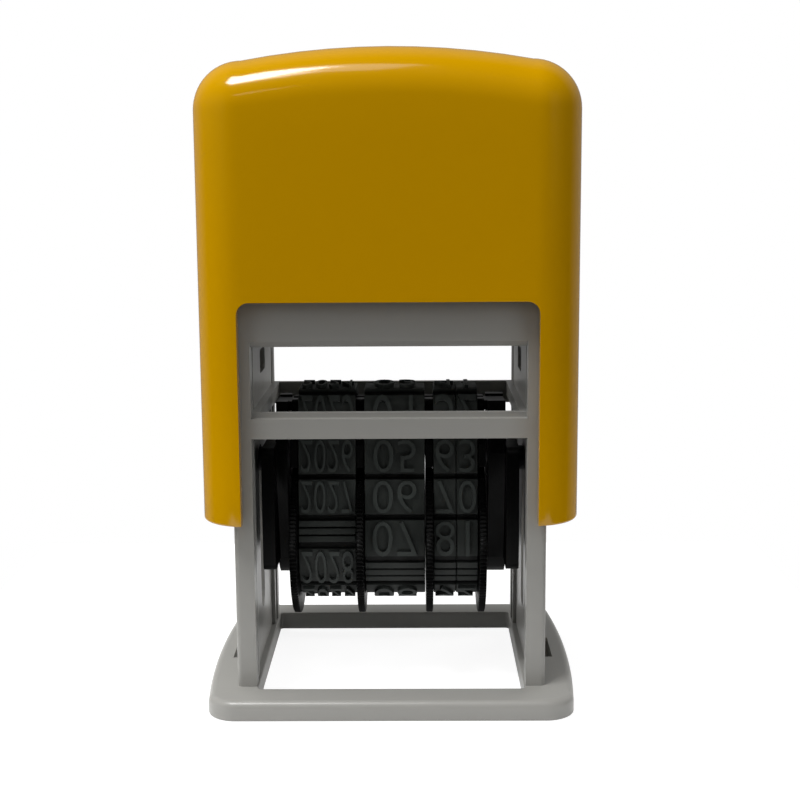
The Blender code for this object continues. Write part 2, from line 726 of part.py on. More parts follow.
def join_cap_details(body):
    """Bosses over the yoke, rails beside its arms and the hooks that snap into them."""
    dome = CAP_TOP - CAP_WALL
    for side in (-1, 1):
        x = side * CAP_BOSS_SPACING_HALF
        boss_low = YOKE_TOP + FIT_GAP
        boss = add_cylinder("cap_boss", CAP_BOSS_RADIUS, (x, 0.0, boss_low), (x, 0.0, dome), steps=BOSS_STEPS)
        join(body, boss)
        x_values = sorted((side * (ARM_INNER_X + SLIDE_GAP), side * (CAP_INNER_X + JOIN_OVERLAP)))
        for side_y in (-1, 1):
            inner_y = YOKE_HALF_DEPTH + FIT_GAP
            y_values = sorted((side_y * inner_y, side_y * (inner_y + CAP_RAIL_THICKNESS)))
            rail = add_box(
                "cap_rail",
                (x_values[0], y_values[0], CAP_RAIL_LOW),
                (x_values[1], y_values[1], CAP_RAIL_HIGH),
            )
            join(body, rail)
        hook = add_box(
            "cap_hook",
            (x_values[0], -HOOK_HALF_WIDTH, HOOK_Z),
            (x_values[1], HOOK_HALF_WIDTH, HOOK_Z + HOOK_HEIGHT),
        )
        join(body, hook)


def make_cap(material, carrier):
    """Cap shell: a soft block hollowed to an even wall, open below, with two cut-outs."""
    side_top = CAP_SIDE_TOP
    body = soft_block("cap_shell", CAP_HALF_WIDTH, CAP_HALF_DEPTH, SKIRT_Z, side_top, CAP_CROWN, CAP_EDGE)
    inside = soft_block(
        "cap_inside",
        CAP_INNER_X,
        CAP_INNER_Y,
        SKIRT_Z - CUT_OVERRUN,
        side_top - CAP_WALL,
        CAP_CROWN,
        CAP_EDGE - CAP_WALL,
    )
    cut(body, inside)
    cut(body, cap_window(CAP_HALF_DEPTH + CUT_OVERRUN))
    join_cap_details(body)
    return finish(body, material, carrier)


def yoke_outline():
    """Front outline of the inverted U that hangs in the cap, down to the pivot."""
    inner_corner = YOKE_CORNER - YOKE_THICKNESS
    outer_centre = (ARM_OUTER_X - YOKE_CORNER, YOKE_TOP - YOKE_CORNER)
    outer = [(ARM_OUTER_X, PIVOT_Z)] + arc(outer_centre, YOKE_CORNER, 0.0, math.pi / 2, CORNER_STEPS)
    inner = arc(outer_centre, inner_corner, math.pi / 2, 0.0, CORNER_STEPS) + [(ARM_INNER_X, PIVOT_Z)]
    mirrored_outer = [(-x, z) for x, z in reversed(outer)]
    mirrored_inner = [(-x, z) for x, z in reversed(inner)]
    return outer + mirrored_outer + mirrored_inner + inner


def make_yoke(material, parent):
    """Yoke: bridge over the spring and two arms whose round ends carry the pivot pins."""
    body = add_plate("yoke", [yoke_outline()], 2 * YOKE_HALF_DEPTH, turn=ALONG_Y)
    seat_top = BRIDGE_LOW + JOIN_OVERLAP
    seat = add_cylinder("yoke_seat", SEAT_RADIUS, (0.0, 0.0, BRIDGE_LOW - SEAT_HEIGHT), (0.0, 0.0, seat_top))
    join(body, seat)
    rib_y = YOKE_HALF_DEPTH - YOKE_THICKNESS
    for side in (-1, 1):
        y_values = sorted((side * rib_y, side * YOKE_HALF_DEPTH))
        rib = add_box(
            "yoke_rib",
            (-YOKE_RIB_HALF_LENGTH, y_values[0], YOKE_TOP - JOIN_OVERLAP),
            (YOKE_RIB_HALF_LENGTH, y_values[1], YOKE_TOP + YOKE_RIB_HEIGHT),
        )
        join(body, rib)
        inner = (side * ARM_INNER_X, 0.0, PIVOT_Z)
        outer = (side * ARM_OUTER_X, 0.0, PIVOT_Z)
        join(body, add_cylinder("arm_end", YOKE_HALF_DEPTH, inner, outer, ALONG_X))
        bore_start = (side * (ARM_INNER_X - CUT_OVERRUN), 0.0, PIVOT_Z)
        bore_end = (side * (ARM_OUTER_X + CUT_OVERRUN), 0.0, PIVOT_Z)
        cut(body, add_cylinder("arm_bore", PIN_RADIUS + FIT_GAP, bore_start, bore_end, ALONG_X))
        x_values = sorted((side * (ARM_INNER_X - CUT_OVERRUN), side * (ARM_OUTER_X + CUT_OVERRUN)))
        catch_half = HOOK_HALF_WIDTH + FIT_GAP
        catch = add_box(
            "hook_catch",
            (x_values[0], -catch_half, HOOK_Z - FIT_GAP),
            (x_values[1], catch_half, HOOK_Z + HOOK_HEIGHT + FIT_GAP),
        )
        cut(body, catch)
    return finish(body, material, parent)


def spring_points():
    """Centre line of the spring wire, rising evenly and flatter over its two end turns."""
    low = FLOOR_TOP + FIT_GAP + WIRE_RADIUS
    high = BRIDGE_LOW - FIT_GAP - WIRE_RADIUS
    middle_rise = (high - low - 2 * END_TURN_PITCH) / (SPRING_TURNS - 2)
    points = []
    for index in range(SPRING_TURNS * POINTS_PER_TURN + 1):
        turns = index / POINTS_PER_TURN
        first = min(turns, 1)
        last = max(turns - (SPRING_TURNS - 1), 0)
        middle = turns - first - last
        height = low + (first + last) * END_TURN_PITCH + middle * middle_rise
        angle = 2 * math.pi * turns
        points.append(Vector((SPRING_RADIUS * math.cos(angle), SPRING_RADIUS * math.sin(angle), height)))
    return points


def spring_least_gap(points):
    """Least gap between wire surfaces of points at least half a turn apart."""
    least = math.inf
    for index, point in enumerate(points):
        for other in points[index + POINTS_PER_TURN // 2 :]:
            least = min(least, (point - other).length - 2 * WIRE_RADIUS)
    return least


def make_spring(material, parent):
    """Return spring: one unbroken wire wound between the frame's floor and the yoke."""
    points = spring_points()
    print(f"return spring least gap to itself: {spring_least_gap(points):.6f} m")
    curve = bpy.data.curves.new("return_spring", "CURVE")
    curve.dimensions = "3D"
    curve.bevel_depth = WIRE_RADIUS
    curve.bevel_resolution = 1
    curve.use_fill_caps = True
    spline = curve.splines.new("POLY")
    spline.points.add(len(points) - 1)
    for point, place in zip(spline.points, points):
        point.co = (*place, 1.0)
    return finish(curve_to_mesh(add_object("return_spring", curve)), material, parent)


# Carrier: cheeks, pins, axle, platen and dividers


def cheek_outline():
    """Side outline of a cheek: slotted neck, wide shoulders and a round foot at the axle."""
    neck = CHEEK_NECK_HALF_WIDTH
    notch = TAB_HALF_WIDTH + FIT_GAP
    top = PLATEN_TOP
    notch_floor = top - TAB_THICKNESS - FIT_GAP
    half = [
        (notch, notch_floor),
        (notch, top),
        (neck, top),
        (neck, top - CHEEK_NECK_HEIGHT),
        (CHEEK_SHOULDER_HALF_WIDTH, PIVOT_Z + CHEEK_SHOULDER_RISE),
        (CHEEK_SHOULDER_HALF_WIDTH, PIVOT_Z - CHEEK_SHOULDER_FALL),
    ]
    foot = arc((0.0, AXLE_Z), CHEEK_FOOT_RADIUS, 0.0, -math.pi, 2 * CORNER_STEPS)
    return half + foot + [(-y, z) for y, z in reversed(half)]


def flange_outline():
    """Side outline of the flange outside a cheek: a wide plate, flat below, round at the corners."""
    half_height = (CHEEK_FLANGE_RISE + CHEEK_FLANGE_FALL) / 2
    middle = PIVOT_Z + (CHEEK_FLANGE_RISE - CHEEK_FLANGE_FALL) / 2
    outline = rounded_rectangle(CHEEK_FLANGE_HALF_WIDTH, half_height, CHEEK_FLANGE_CORNER)
    return [(y, z + middle) for y, z in outline]


def cheek_inner(side):
    """Distance from the middle to a cheek's inner face, which lies beside the shifted stack's end."""
    return STACK_WIDTH / 2 + side * STACK_SHIFT + SLIDE_GAP


def make_cheek(name, side, material, parent):
    """Cheek plate with its flange, which takes the pivot pin and the axle's head, and their bores."""
    inner = cheek_inner(side)
    middle = side * (inner + CHEEK_OUTER_X) / 2
    body = add_plate(name, [cheek_outline()], CHEEK_OUTER_X - inner, (middle, 0.0, 0.0), ALONG_X)
    root_x = side * (CHEEK_OUTER_X - JOIN_OVERLAP)
    flange_x = side * FLANGE_OUTER_X
    flange_place = ((root_x + flange_x) / 2, 0.0, 0.0)
    flange = add_plate("cheek_flange", [flange_outline()], abs(flange_x - root_x), flange_place, ALONG_X)
    join(body, flange)
    start_x = side * (inner - CUT_OVERRUN)
    end_x = side * (FLANGE_OUTER_X + CUT_OVERRUN)
    bore = PIN_RADIUS + FIT_GAP
    cut(body, add_cylinder("pin_bore", bore, (start_x, 0.0, PIVOT_Z), (end_x, 0.0, PIVOT_Z), ALONG_X))
    sink_x = side * (inner + PIN_HEAD_LENGTH + FIT_GAP)
    sink = PIN_HEAD_RADIUS + FIT_GAP
    cut(body, add_cylinder("head_sink", sink, (start_x, 0.0, PIVOT_Z), (sink_x, 0.0, PIVOT_Z), ALONG_X))
    axle_bore = AXLE_RADIUS + FIT_GAP
    cut(body, add_cylinder("axle_bore", axle_bore, (start_x, 0.0, AXLE_Z), (end_x, 0.0, AXLE_Z), ALONG_X))
    floor_x = side * (CHEEK_OUTER_X - FIT_GAP)
    head_sink = AXLE_HEAD_RADIUS + FIT_GAP
    cut(body, add_cylinder("axle_sink", head_sink, (floor_x, 0.0, AXLE_Z), (end_x, 0.0, AXLE_Z), ALONG_X))
    return finish(body, material, parent)


def make_pin(name, side, material, parent):
    """Pivot pin: a head sunk in the cheek and a shank out through the frame to the yoke."""
    head = cheek_inner(side)
    neck = head + PIN_HEAD_LENGTH
    end = ARM_OUTER_X
    shank = [(0.0, end), (PIN_RADIUS, end), (PIN_RADIUS, neck)]
    profile = shank + [(PIN_HEAD_RADIUS, neck), (PIN_HEAD_RADIUS, head), (0.0, head)]
    if side < 0:
        profile = [(radius, -distance) for radius, distance in reversed(profile)]
    return finish(add_turned(name, profile, (0.0, 0.0, PIVOT_Z)), material, parent)


def make_axle(material, parent):
    """Axle through both cheeks and all four wheels, headed at both ends."""
    shank = CHEEK_OUTER_X
    end = shank + AXLE_HEAD_LENGTH
    profile = [(0.0, end), (AXLE_HEAD_RADIUS, end), (AXLE_HEAD_RADIUS, shank), (AXLE_RADIUS, shank)]
    profile += [(radius, -distance) for radius, distance in reversed(profile)]
    return finish(add_turned("wheel_axle", profile, (0.0, 0.0, AXLE_Z)), material, parent)


def platen_outline():
    """End outline of the platen: a rounded bar with a stem under it."""
    low = PLATEN_TOP - PLATEN_THICKNESS
    corner_y = PLATEN_HALF_WIDTH - PLATEN_CORNER
    corner_z = PLATEN_TOP - PLATEN_CORNER
    groove = PLATEN_GROOVE_WIDTH / 2
    half = [(STEM_HALF_WIDTH, STEM_LOW), (STEM_HALF_WIDTH, low), (PLATEN_HALF_WIDTH, low + PLATEN_TAPER)]
    half += arc((corner_y, corner_z), PLATEN_CORNER, 0.0, math.pi / 2, CORNER_STEPS)
    half += [(groove, PLATEN_TOP), (groove, PLATEN_TOP - PLATEN_GROOVE_DEPTH)]
    return half + [(-y, z) for y, z in reversed(half)]


def make_platen(material, parent, discs):
    """Platen bar with tabs that lie in the cheeks and slits that hold the dividers."""
    low_x = FIT_GAP - cheek_inner(-1)
    high_x = cheek_inner(1) - FIT_GAP
    body = add_plate("platen", [platen_outline()], high_x - low_x, ((low_x + high_x) / 2, 0.0, 0.0), ALONG_X)
    for side, end_x in ((-1, low_x), (1, high_x)):
        x_values = sorted((end_x - side * JOIN_OVERLAP, side * CHEEK_OUTER_X))
        tab = add_box(
            "platen_tab",
            (x_values[0], -TAB_HALF_WIDTH, PLATEN_TOP - TAB_THICKNESS),
            (x_values[1], TAB_HALF_WIDTH, PLATEN_TOP - JOIN_OVERLAP),
        )
        join(body, tab)
    slit_half = DIVIDER_THICKNESS / 2 + FIT_GAP
    slit_top = STEM_LOW + DIVIDER_HEIGHT / 2 + FIT_GAP
    for x in discs:
        start_x = low_x - CUT_OVERRUN if x == discs[0] else x - slit_half
        end_x = high_x + CUT_OVERRUN if x == discs[-1] else x + slit_half
        slit = add_box(
            "divider_slit",
            (start_x, -STEM_HALF_WIDTH - CUT_OVERRUN, STEM_LOW - CUT_OVERRUN),
            (end_x, STEM_HALF_WIDTH + CUT_OVERRUN, slit_top),
        )
        cut(body, slit)
    return finish(body, material, parent)


def divider_outline():
    """Side outline of a divider: a low plate slotted from above for the platen's stem."""
    half_width = DIVIDER_HALF_WIDTH
    corner = DIVIDER_CORNER
    low = STEM_LOW
    top = low + DIVIDER_HEIGHT
    slot = STEM_HALF_WIDTH + FIT_GAP
    slot_floor = low + DIVIDER_HEIGHT / 2
    half = [(half_width, low)]
    half += arc((half_width - corner, top - corner), corner, 0.0, math.pi / 2, CORNER_STEPS)
    half += [(slot, top), (slot, slot_floor)]
    return half + [(-y, z) for y, z in reversed(half)]


def make_dividers(material, parent, discs):
    """Four thin plates that keep the bands apart above the discs."""
    pieces = []
    for number, x in enumerate(discs, start=1):
        place = (x, 0.0, 0.0)
        body = add_plate(f"band_divider_{number}", [divider_outline()], DIVIDER_THICKNESS, place, ALONG_X)
        pieces.append(finish(body, material, parent))
    return pieces


# Wheels and bands


def toothed_circle(radius, depth, teeth):
    """Circle with pointed teeth, as an outline of tips and roots in turn."""
    outline = []
    for index in range(2 * teeth):
        angle = math.pi * index / teeth
        reach = radius if index % 2 == 0 else radius - depth
        outline.append((reach * math.cos(angle), reach * math.sin(angle)))
    return outline


def make_wheels(material, parent, bands, discs):
    """Four thumbwheels, each a toothed disc with the drum that drives its band."""
    wheels = []
    bore = AXLE_RADIUS + FIT_GAP
    for number, (left, width, disc_x) in enumerate(zip(bands, BAND_WIDTHS, discs), start=1):
        rim = toothed_circle(DISC_RADIUS, DISC_TOOTH_DEPTH, DISC_TEETH)
        place = (disc_x, 0.0, AXLE_Z)
        body = add_plate(f"thumbwheel_{number}", [rim], DISC_THICKNESS, place, ALONG_X)
        if left > disc_x:
            drum_start, drum_end = disc_x, left + width
        else:
            drum_start, drum_end = left, disc_x
        drum = add_cylinder("drum", DRUM_RADIUS, (drum_start, 0.0, AXLE_Z), (drum_end, 0.0, AXLE_Z), ALONG_X)
        join(body, drum)
        hole_start = (drum_start - DISC_THICKNESS - CUT_OVERRUN, 0.0, AXLE_Z)
        hole_end = (drum_end + DISC_THICKNESS + CUT_OVERRUN, 0.0, AXLE_Z)
        cut(body, add_cylinder("wheel_bore", bore, hole_start, hole_end, ALONG_X))
        wheels.append(finish(body, material, parent))
    return wheels


def make_bands(material, parent, bands):
    """Four rubber date bands, each a closed belt with raised rows."""
    outer, inner = band_outlines()
    pieces = []
    for number, (left, width) in enumerate(zip(bands, BAND_WIDTHS), start=1):
        place = (left + width / 2, 0.0, 0.0)
        body = add_plate(f"date_band_{number}", [outer, inner], width, place, ALONG_X)
        pieces.append(finish(body, material, parent))
    return pieces


def main():
    """Build every piece of the stamp."""
    clear_scene()
    make_collection(PIECES)
    make_collection(CUTTERS)
    yellow = make_material("cap_plastic", (0.72, 0.42, 0.02), 0.25)
    grey = make_material("frame_plastic", (0.42, 0.42, 0.40), 0.35)
    black = make_material("carrier_plastic", (0.012, 0.012, 0.012), 0.4)
    rubber = make_material("band_rubber", (0.02, 0.022, 0.02), 0.6)
    steel = make_material("steel", (0.6, 0.6, 0.6), 0.3, 1.0)

    cap_axis = add_axis("cap_axis", (0.0, 0.0, FRAME_TOP))
    carrier_axis = add_axis("carrier_axis", (0.0, 0.0, PIVOT_Z), cap_axis)
    wheel_axis = add_axis("wheel_axis", (0.0, 0.0, AXLE_Z), carrier_axis)
    bands, discs = stack_places()

    make_frame(grey)
    make_base(grey)
    make_cap(yellow, cap_axis)
    make_yoke(grey, cap_axis)
    make_spring(steel, cap_axis)
    make_cheek("left_cheek", -1, black, carrier_axis)
    make_cheek("right_cheek", 1, black, carrier_axis)
    make_pin("left_pivot_pin", -1, steel, carrier_axis)
    make_pin("right_pivot_pin", 1, steel, carrier_axis)
    make_axle(steel, carrier_axis)
    make_platen(black, carrier_axis, discs)
    make_dividers(black, carrier_axis, discs)
    make_wheels(black, wheel_axis, bands, discs)
    make_bands(rubber, carrier_axis, bands)


main()
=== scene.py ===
"""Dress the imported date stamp: fine surfaces, finishes, studio and camera.

The frame gives every place and size that the solids have. X runs along the printed line,
Y from the front to the back and Z up, in metres.
"""

import json
import math

import bmesh
import bpy
import numpy as np
from bpy.props import FloatProperty, FloatVectorProperty, IntProperty, PointerProperty
from mathutils import Matrix, Vector


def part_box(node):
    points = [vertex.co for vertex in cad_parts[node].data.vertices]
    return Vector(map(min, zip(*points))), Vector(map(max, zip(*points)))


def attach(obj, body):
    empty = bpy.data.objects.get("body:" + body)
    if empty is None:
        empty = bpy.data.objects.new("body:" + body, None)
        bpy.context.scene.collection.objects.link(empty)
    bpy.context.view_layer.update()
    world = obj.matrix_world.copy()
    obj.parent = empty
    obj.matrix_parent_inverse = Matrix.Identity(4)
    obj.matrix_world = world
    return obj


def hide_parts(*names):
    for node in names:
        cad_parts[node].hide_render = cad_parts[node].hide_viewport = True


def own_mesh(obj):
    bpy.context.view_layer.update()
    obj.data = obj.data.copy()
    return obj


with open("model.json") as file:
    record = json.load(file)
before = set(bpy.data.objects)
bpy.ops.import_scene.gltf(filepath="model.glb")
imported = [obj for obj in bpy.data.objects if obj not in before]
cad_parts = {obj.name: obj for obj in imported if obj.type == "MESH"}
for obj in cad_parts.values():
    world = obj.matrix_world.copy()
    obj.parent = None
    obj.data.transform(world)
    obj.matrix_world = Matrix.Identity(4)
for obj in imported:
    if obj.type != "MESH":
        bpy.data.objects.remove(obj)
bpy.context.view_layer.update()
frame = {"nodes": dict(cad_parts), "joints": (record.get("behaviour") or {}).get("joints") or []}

bl_info = {
    "name": "Date stamp dresser",
    "version": (1, 0, 0),
    "blender": (4, 5, 0),
    "location": "View3D > Sidebar > Date stamp",
    "description": "Gives the packed date stamp its fine surfaces, finishes and studio",
    "category": "Object",
}

MILLIMETRE = 0.001
FULL_TURN = 2 * math.pi

# Sizes, angles and places that several pieces share
FIT_GAP = 0.0003
FOOT_TOLERANCE = FIT_GAP / 10
WELD_DISTANCE = 0.000005
FLAT_ANGLE = math.radians(0.1)
SHARP_ANGLE = math.radians(35)
EDGE_SEGMENTS = 2
FILLET_STEPS = 4
JOINTS = {joint["name"]: joint for joint in frame["joints"]}
AXLE_Z = JOINTS["wheel_1_turn"]["pos_m"][2]
PIVOT_Z = JOINTS["carrier_flip"]["pos_m"][2]
PLATEN_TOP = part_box("platen")[1].z

# Grain of the finishes, and the stretches of noise and of relief that their values follow
COLOUR_DRIFT = 30 * MILLIMETRE
POLISH_DRIFT = 2.5 * MILLIMETRE
PEEL_WIDTH = 0.6 * MILLIMETRE
PEEL_HEIGHT = 0.0007 * MILLIMETRE
DUST_PATCH = 1.5 * MILLIMETRE
RUBBER_GRAIN = 0.15 * MILLIMETRE
RUBBER_GRAIN_HEIGHT = 0.01 * MILLIMETRE
DRAW_MARK = 0.3 * MILLIMETRE
NOISE_SHARES = (0.2, 0.8)
# Stretch of the bands' relief over which the painted shade and ink in the grooves give way to the plain
# rubber
INK_AND_SHADE_SHARES = (0.1, 0.4)
PLASTIC_IOR = 1.54

# Cap
CAP_ROLL_STEPS = 14
CAP_SIDE_STEPS = 10
CAP_WALL_STEPS = 11
CAP_CROWN_STEPS = 10
CAP_BEVEL_ANGLE = math.radians(50)
WINDOW_CORNER_STEPS = 10

# Base ring
OPENING_HALF_WIDTH = 0.01356
OPENING_HALF_DEPTH = 0.01255
OPENING_CORNER = 0.0004
SNAP_HOLE_HALF_LENGTH = 0.0034
SNAP_HOLE_INNER_X = 0.0142
SNAP_HOLE_OUTER_X = 0.01727
SNAP_HOLE_FOOT_SHARE = 0.4
BASE_CORNER_STEPS = 16
BASE_SIDE_STEPS = 12
BASE_EDGE_STEPS = 8

# Date bands. MARK_STEP keeps the marks of points that coincide in their order
MARK_STEP = 1e-12
BAND_COUNT = 4
BELT_THICKNESS = 0.0006
BELT_EDGE = BELT_THICKNESS / 8
BLOCK_HEIGHT = 0.00035
BLOCK_STEPS = 14
BAND_FACE = BELT_THICKNESS + BLOCK_HEIGHT
GROOVE_WIDTH = 0.0005
GROOVE_SLOPE = GROOVE_WIDTH / 6
PLATEN_HALF_WIDTH = 0.0024
PLATEN_CORNER = 0.0009
DRUM_RADIUS = 0.00485
PLATEN_CORNER_STEPS = 30
DRUM_STEPS = 120
BAND_TEXTS = (
    ("2024", "2025", "2026", "2027", None, "2028", "2029", "2030", "2031", "2032", "2033", "2034", "2035"),
    ("03", "04", "05", "06", "07", None, "08", "09", "10", "11", "12", "01", "02"),
    ("4", "5", "6", "7", "8", None, "9", "0", "1", "2", "3", "4", "5"),
    ("1", "2", "3", "0", "1", None, "2", "3", "0", "1", "2", "3", "0"),
)
RIDGES_PER_ROW = 3
RIDGE_CROWN = GROOVE_SLOPE / 3
RIDGE_START_SHARE = 0.14
RIDGE_END_SHARE = 0.86
RIDGED_ROW_SHARE = 0.68
ROW_SHIFT = 0.0002
RELIEF_STEPS = 600
BAND_SPREAD = 0.00012
DIVIDER_SPREAD = 0.00016

# Numbers on the bands, drawn one unit high before they are scaled
NUMBER_WIDTH_SHARE = 0.94
NUMBER_SINK = BLOCK_HEIGHT / 4
NUMBER_STRIPS = 6
STROKE_OFFSET = -0.008
STROKE_HALF_DEPTH = 0.5
STROKE_STEPS = 4

# Thumbwheels. The rim's soft edge and the teeth reach inwards by spans of the carrier's fillet
DISC_THICKNESS = 0.00055
DISC_SPREAD = 0.0001
DISC_RADIUS = 0.0082
BORE_RADIUS = 0.0013
DISC_ON_LEFT = (True, True, True, False)
RIM_SPAN = 3
TOOTH_SPAN = 2
POINTS_PER_TOOTH = 4

# Pins, axle and spring
PIN_RADIUS = 0.0013
PIN_CHAMFER = PIN_RADIUS / 6
PIN_HEAD_RADIUS = 0.0020
PIN_HEAD_LENGTH = 0.0004
PIN_COLUMNS = 64
AXLE_RADIUS = 0.0010
AXLE_HEAD_RADIUS = 0.0018
AXLE_HEAD_LENGTH = 0.0005
AXLE_HEAD_STEPS = 5
SPRING_RADIUS = 0.0040
SPRING_TURNS = 6
SPRING_STEPS_PER_TURN = 40
WIRE_RADIUS = 0.0004
WIRE_COLUMNS = 16
END_TURN_PITCH = 0.0016

# Floor and surround. The surround's white fades in behind as a direction's Y runs over BEHIND_SHARES
FLOOR_HALF_SIZE = 0.052
FLOOR_DROP = 0.00005
FLOOR_GLOW = 0.88
FLOOR_COLOUR = "#E0E0E0"
FLOOR_SHADOWED_COLOUR = "#909090"
WHITE = "#FFFFFF"
MIRRORED_SHARE = 0.25
BEHIND_SHARES = (0.1, 0.5)
ROOM_LIGHT = 0.06

# Softboxes: name, azimuth from the front (left is negative) and elevation in degrees, width,
# height, radiance, and whether polished faces mirror it
LAMP_DISTANCE = 0.5
LAMPS = (
    ("key_strip", -44, 66, 0.12, 0.15, 22.0, True),
    ("key_corner", -34, 63, 0.11, 0.07, 7.0, True),
    ("key_tail", -20, 69, 0.14, 0.14, 2.8, True),
    ("small_window", -15, 35, 0.05, 0.010, 4.5, True),
    ("left_high", -85, 60, 0.25, 0.25, 6.4, False),
    ("left_low", -85, 20, 0.25, 0.30, 4.0, False),
    ("left_front", -50, 20, 0.25, 0.30, 2.1, False),
    ("front_high", 0, 58, 0.40, 0.16, 1.2, False),
    ("front_middle", 0, 33, 0.40, 0.16, 0.3, False),
    ("right_front", 50, 20, 0.25, 0.30, 2.5, False),
    ("right_low", 85, 20, 0.25, 0.30, 0.6, False),
    ("back_left", -142, 14, 0.30, 0.25, 4.2, False),
    ("back_right", 140, 14, 0.30, 0.25, 6.0, False),
)

# Camera, from the photo's perspective
VIEW_PLACE = (0.00264, -0.14847, 0.05349)
VIEW_YAW = math.radians(0.65)
VIEW_PITCH = math.radians(-9.11)
VIEW_ROLL = math.radians(0.38)
VIEW_LENS = 63.0
NEAREST_SEEN = MILLIMETRE


# Colour and shader helpers


def srgb(code):
    """Linear opaque colour of an sRGB hex code such as #8A8985."""
    channels = [int(code[start : start + 2], 16) / 255 for start in (1, 3, 5)]
    linear = [value / 12.92 if value <= 0.04045 else ((value + 0.055) / 1.055) ** 2.4 for value in channels]
    return (*linear, 1.0)


def add_node(tree, kind, links=(), inputs=(), **settings):
    """Add a node with its settings, fixed inputs and (socket, source node, source socket) links."""
    node = tree.nodes.new(kind)
    for name, value in settings.items():
        setattr(node, name, value)
    for name, value in inputs:
        node.inputs[name].default_value = value
    for name, source, output in links:
        tree.links.new(source.outputs[output], node.inputs[name])
    return node


def new_material(name):
    """Empty material with a node tree, its output and its Principled shader."""
    material = bpy.data.materials.new(name)
    material.use_nodes = True
    tree = material.node_tree
    return material, tree, tree.nodes["Principled BSDF"]


def grain(tree, size, detail=3.0, roughness=0.5):
    """Noise in object space whose grains are about the given size across."""
    place = add_node(tree, "ShaderNodeTexCoord")
    inputs = [("Scale", 1 / size), ("Detail", detail), ("Roughness", roughness)]
    return add_node(tree, "ShaderNodeTexNoise", [("Vector", place, "Object")], inputs)


def spread_colour(tree, source, low, high, target, socket, shares=NOISE_SHARES):
    """Carry one colour to another into a socket as the source runs over a stretch of its range."""
    ramp = add_node(tree, "ShaderNodeValToRGB", [("Fac", source, "Fac")])
    for element, share, colour in zip(ramp.color_ramp.elements, shares, (low, high)):
        element.position = share
        element.color = (*colour, 1.0)
    tree.links.new(ramp.outputs["Color"], target.inputs[socket])
    return ramp


def spread_value(tree, source, middle, spread, target, socket):
    """Carry a value into a socket that runs from half the spread under its middle to half over."""
    first, last = NOISE_SHARES
    low, high = middle - spread / 2, middle + spread / 2
    inputs = [("From Min", first), ("From Max", last), ("To Min", low), ("To Max", high)]
    value = add_node(tree, "ShaderNodeMapRange", [("Value", source, "Fac")], inputs)
    tree.links.new(value.outputs["Result"], target.inputs[socket])


def raise_skin(tree, shader, size, height, detail):
    """Give the surface a fine relief whose grains have the given size and height in metres."""
    skin = grain(tree, size, detail)
    inputs = [("Distance", height), ("Strength", 1.0)]
    bump = add_node(tree, "ShaderNodeBump", [("Height", skin, "Fac")], inputs)
    tree.links.new(bump.outputs["Normal"], shader.inputs["Normal"])


# Finishes


def moulded_plastic(name, colour, shade, roughness, spread, gloss=0.5):
    """Injection moulded plastic: an even colour with a broad faint drift and a soft orange peel.

    The colour drifts over 30 mm as the melt cooled, and the polish over 2.5 mm. The peel is 0.6 mm
    across, drawn that coarse so that it shows.
    """
    material, tree, shader = new_material(name)
    drift = grain(tree, COLOUR_DRIFT, detail=0.0)
    spread_colour(tree, drift, shade, colour, shader, "Base Color")
    polish = grain(tree, POLISH_DRIFT, detail=1.0)
    spread_value(tree, polish, roughness, spread, shader, "Roughness")
    raise_skin(tree, shader, PEEL_WIDTH, PEEL_HEIGHT, detail=0.0)
    shader.inputs["IOR"].default_value = PLASTIC_IOR
    shader.inputs["Specular IOR Level"].default_value = gloss
    return material


def cap_abs(colours):
    """Golden yellow ABS of the cap, polished in the mould, so it carries soft bright reflections."""
    name = "moulded_abs_golden_yellow"
    return moulded_plastic(name, colours.cap, colours.cap_shade, roughness=0.11, spread=0.02, gloss=0.4)


def frame_abs(colours):
    """Warm light grey ABS of the frame and base, with a satin mould face."""
    name = "moulded_abs_warm_grey"
    return moulded_plastic(name, colours.frame, colours.frame_shade, roughness=0.31, spread=0.04)


def carrier_acetal(colours):
    """Black acetal of the carrier: deep and dull black, so its forms are told by their edges."""
    name = "moulded_acetal_black"
    colour, shade = colours.carrier, colours.carrier_shade
    return moulded_plastic(name, colour, shade, roughness=0.36, spread=0.1, gloss=0.08)


def band_rubber(colours):
    """Vulcanised rubber of the bands: the grooves are near black from ink and painted shade, and the type's
    faces a paler grey from being worn and from a painted highlight.

    The relief attribute runs from 0 on the belt to 1 on the face of a number. Talc and dried ink
    lie over it in patches of 1.5 mm, and its skin has a dull grain of 0.15 mm.
    """
    material, tree, shader = new_material("vulcanised_rubber_charcoal_with_painted_shade_and_highlight")
    patches = grain(tree, DUST_PATCH, detail=4.0, roughness=0.6)
    dusted = add_node(tree, "ShaderNodeHueSaturation")
    spread_value(tree, patches, 1.0, 0.4, dusted, "Value")
    height = add_node(tree, "ShaderNodeAttribute", attribute_name="relief")
    # The grooves go to near black, as ink and painted shade, and the number faces to a paler grey, as worn
    # rubber and a painted highlight
    ink_shade_and_highlight_ramp = spread_colour(tree, height, colours.rubber_inked_and_shaded, colours.rubber, dusted, "Color", INK_AND_SHADE_SHARES)
    ink_shade_and_highlight_ramp.color_ramp.elements.new(1.0).color = (*colours.rubber_worn_and_highlighted, 1.0)
    tree.links.new(dusted.outputs["Color"], shader.inputs["Base Color"])
    spread_value(tree, patches, 0.575, 0.25, shader, "Roughness")
    shader.inputs["Specular IOR Level"].default_value = 0.3
    raise_skin(tree, shader, RUBBER_GRAIN, RUBBER_GRAIN_HEIGHT, detail=2.0)
    return material


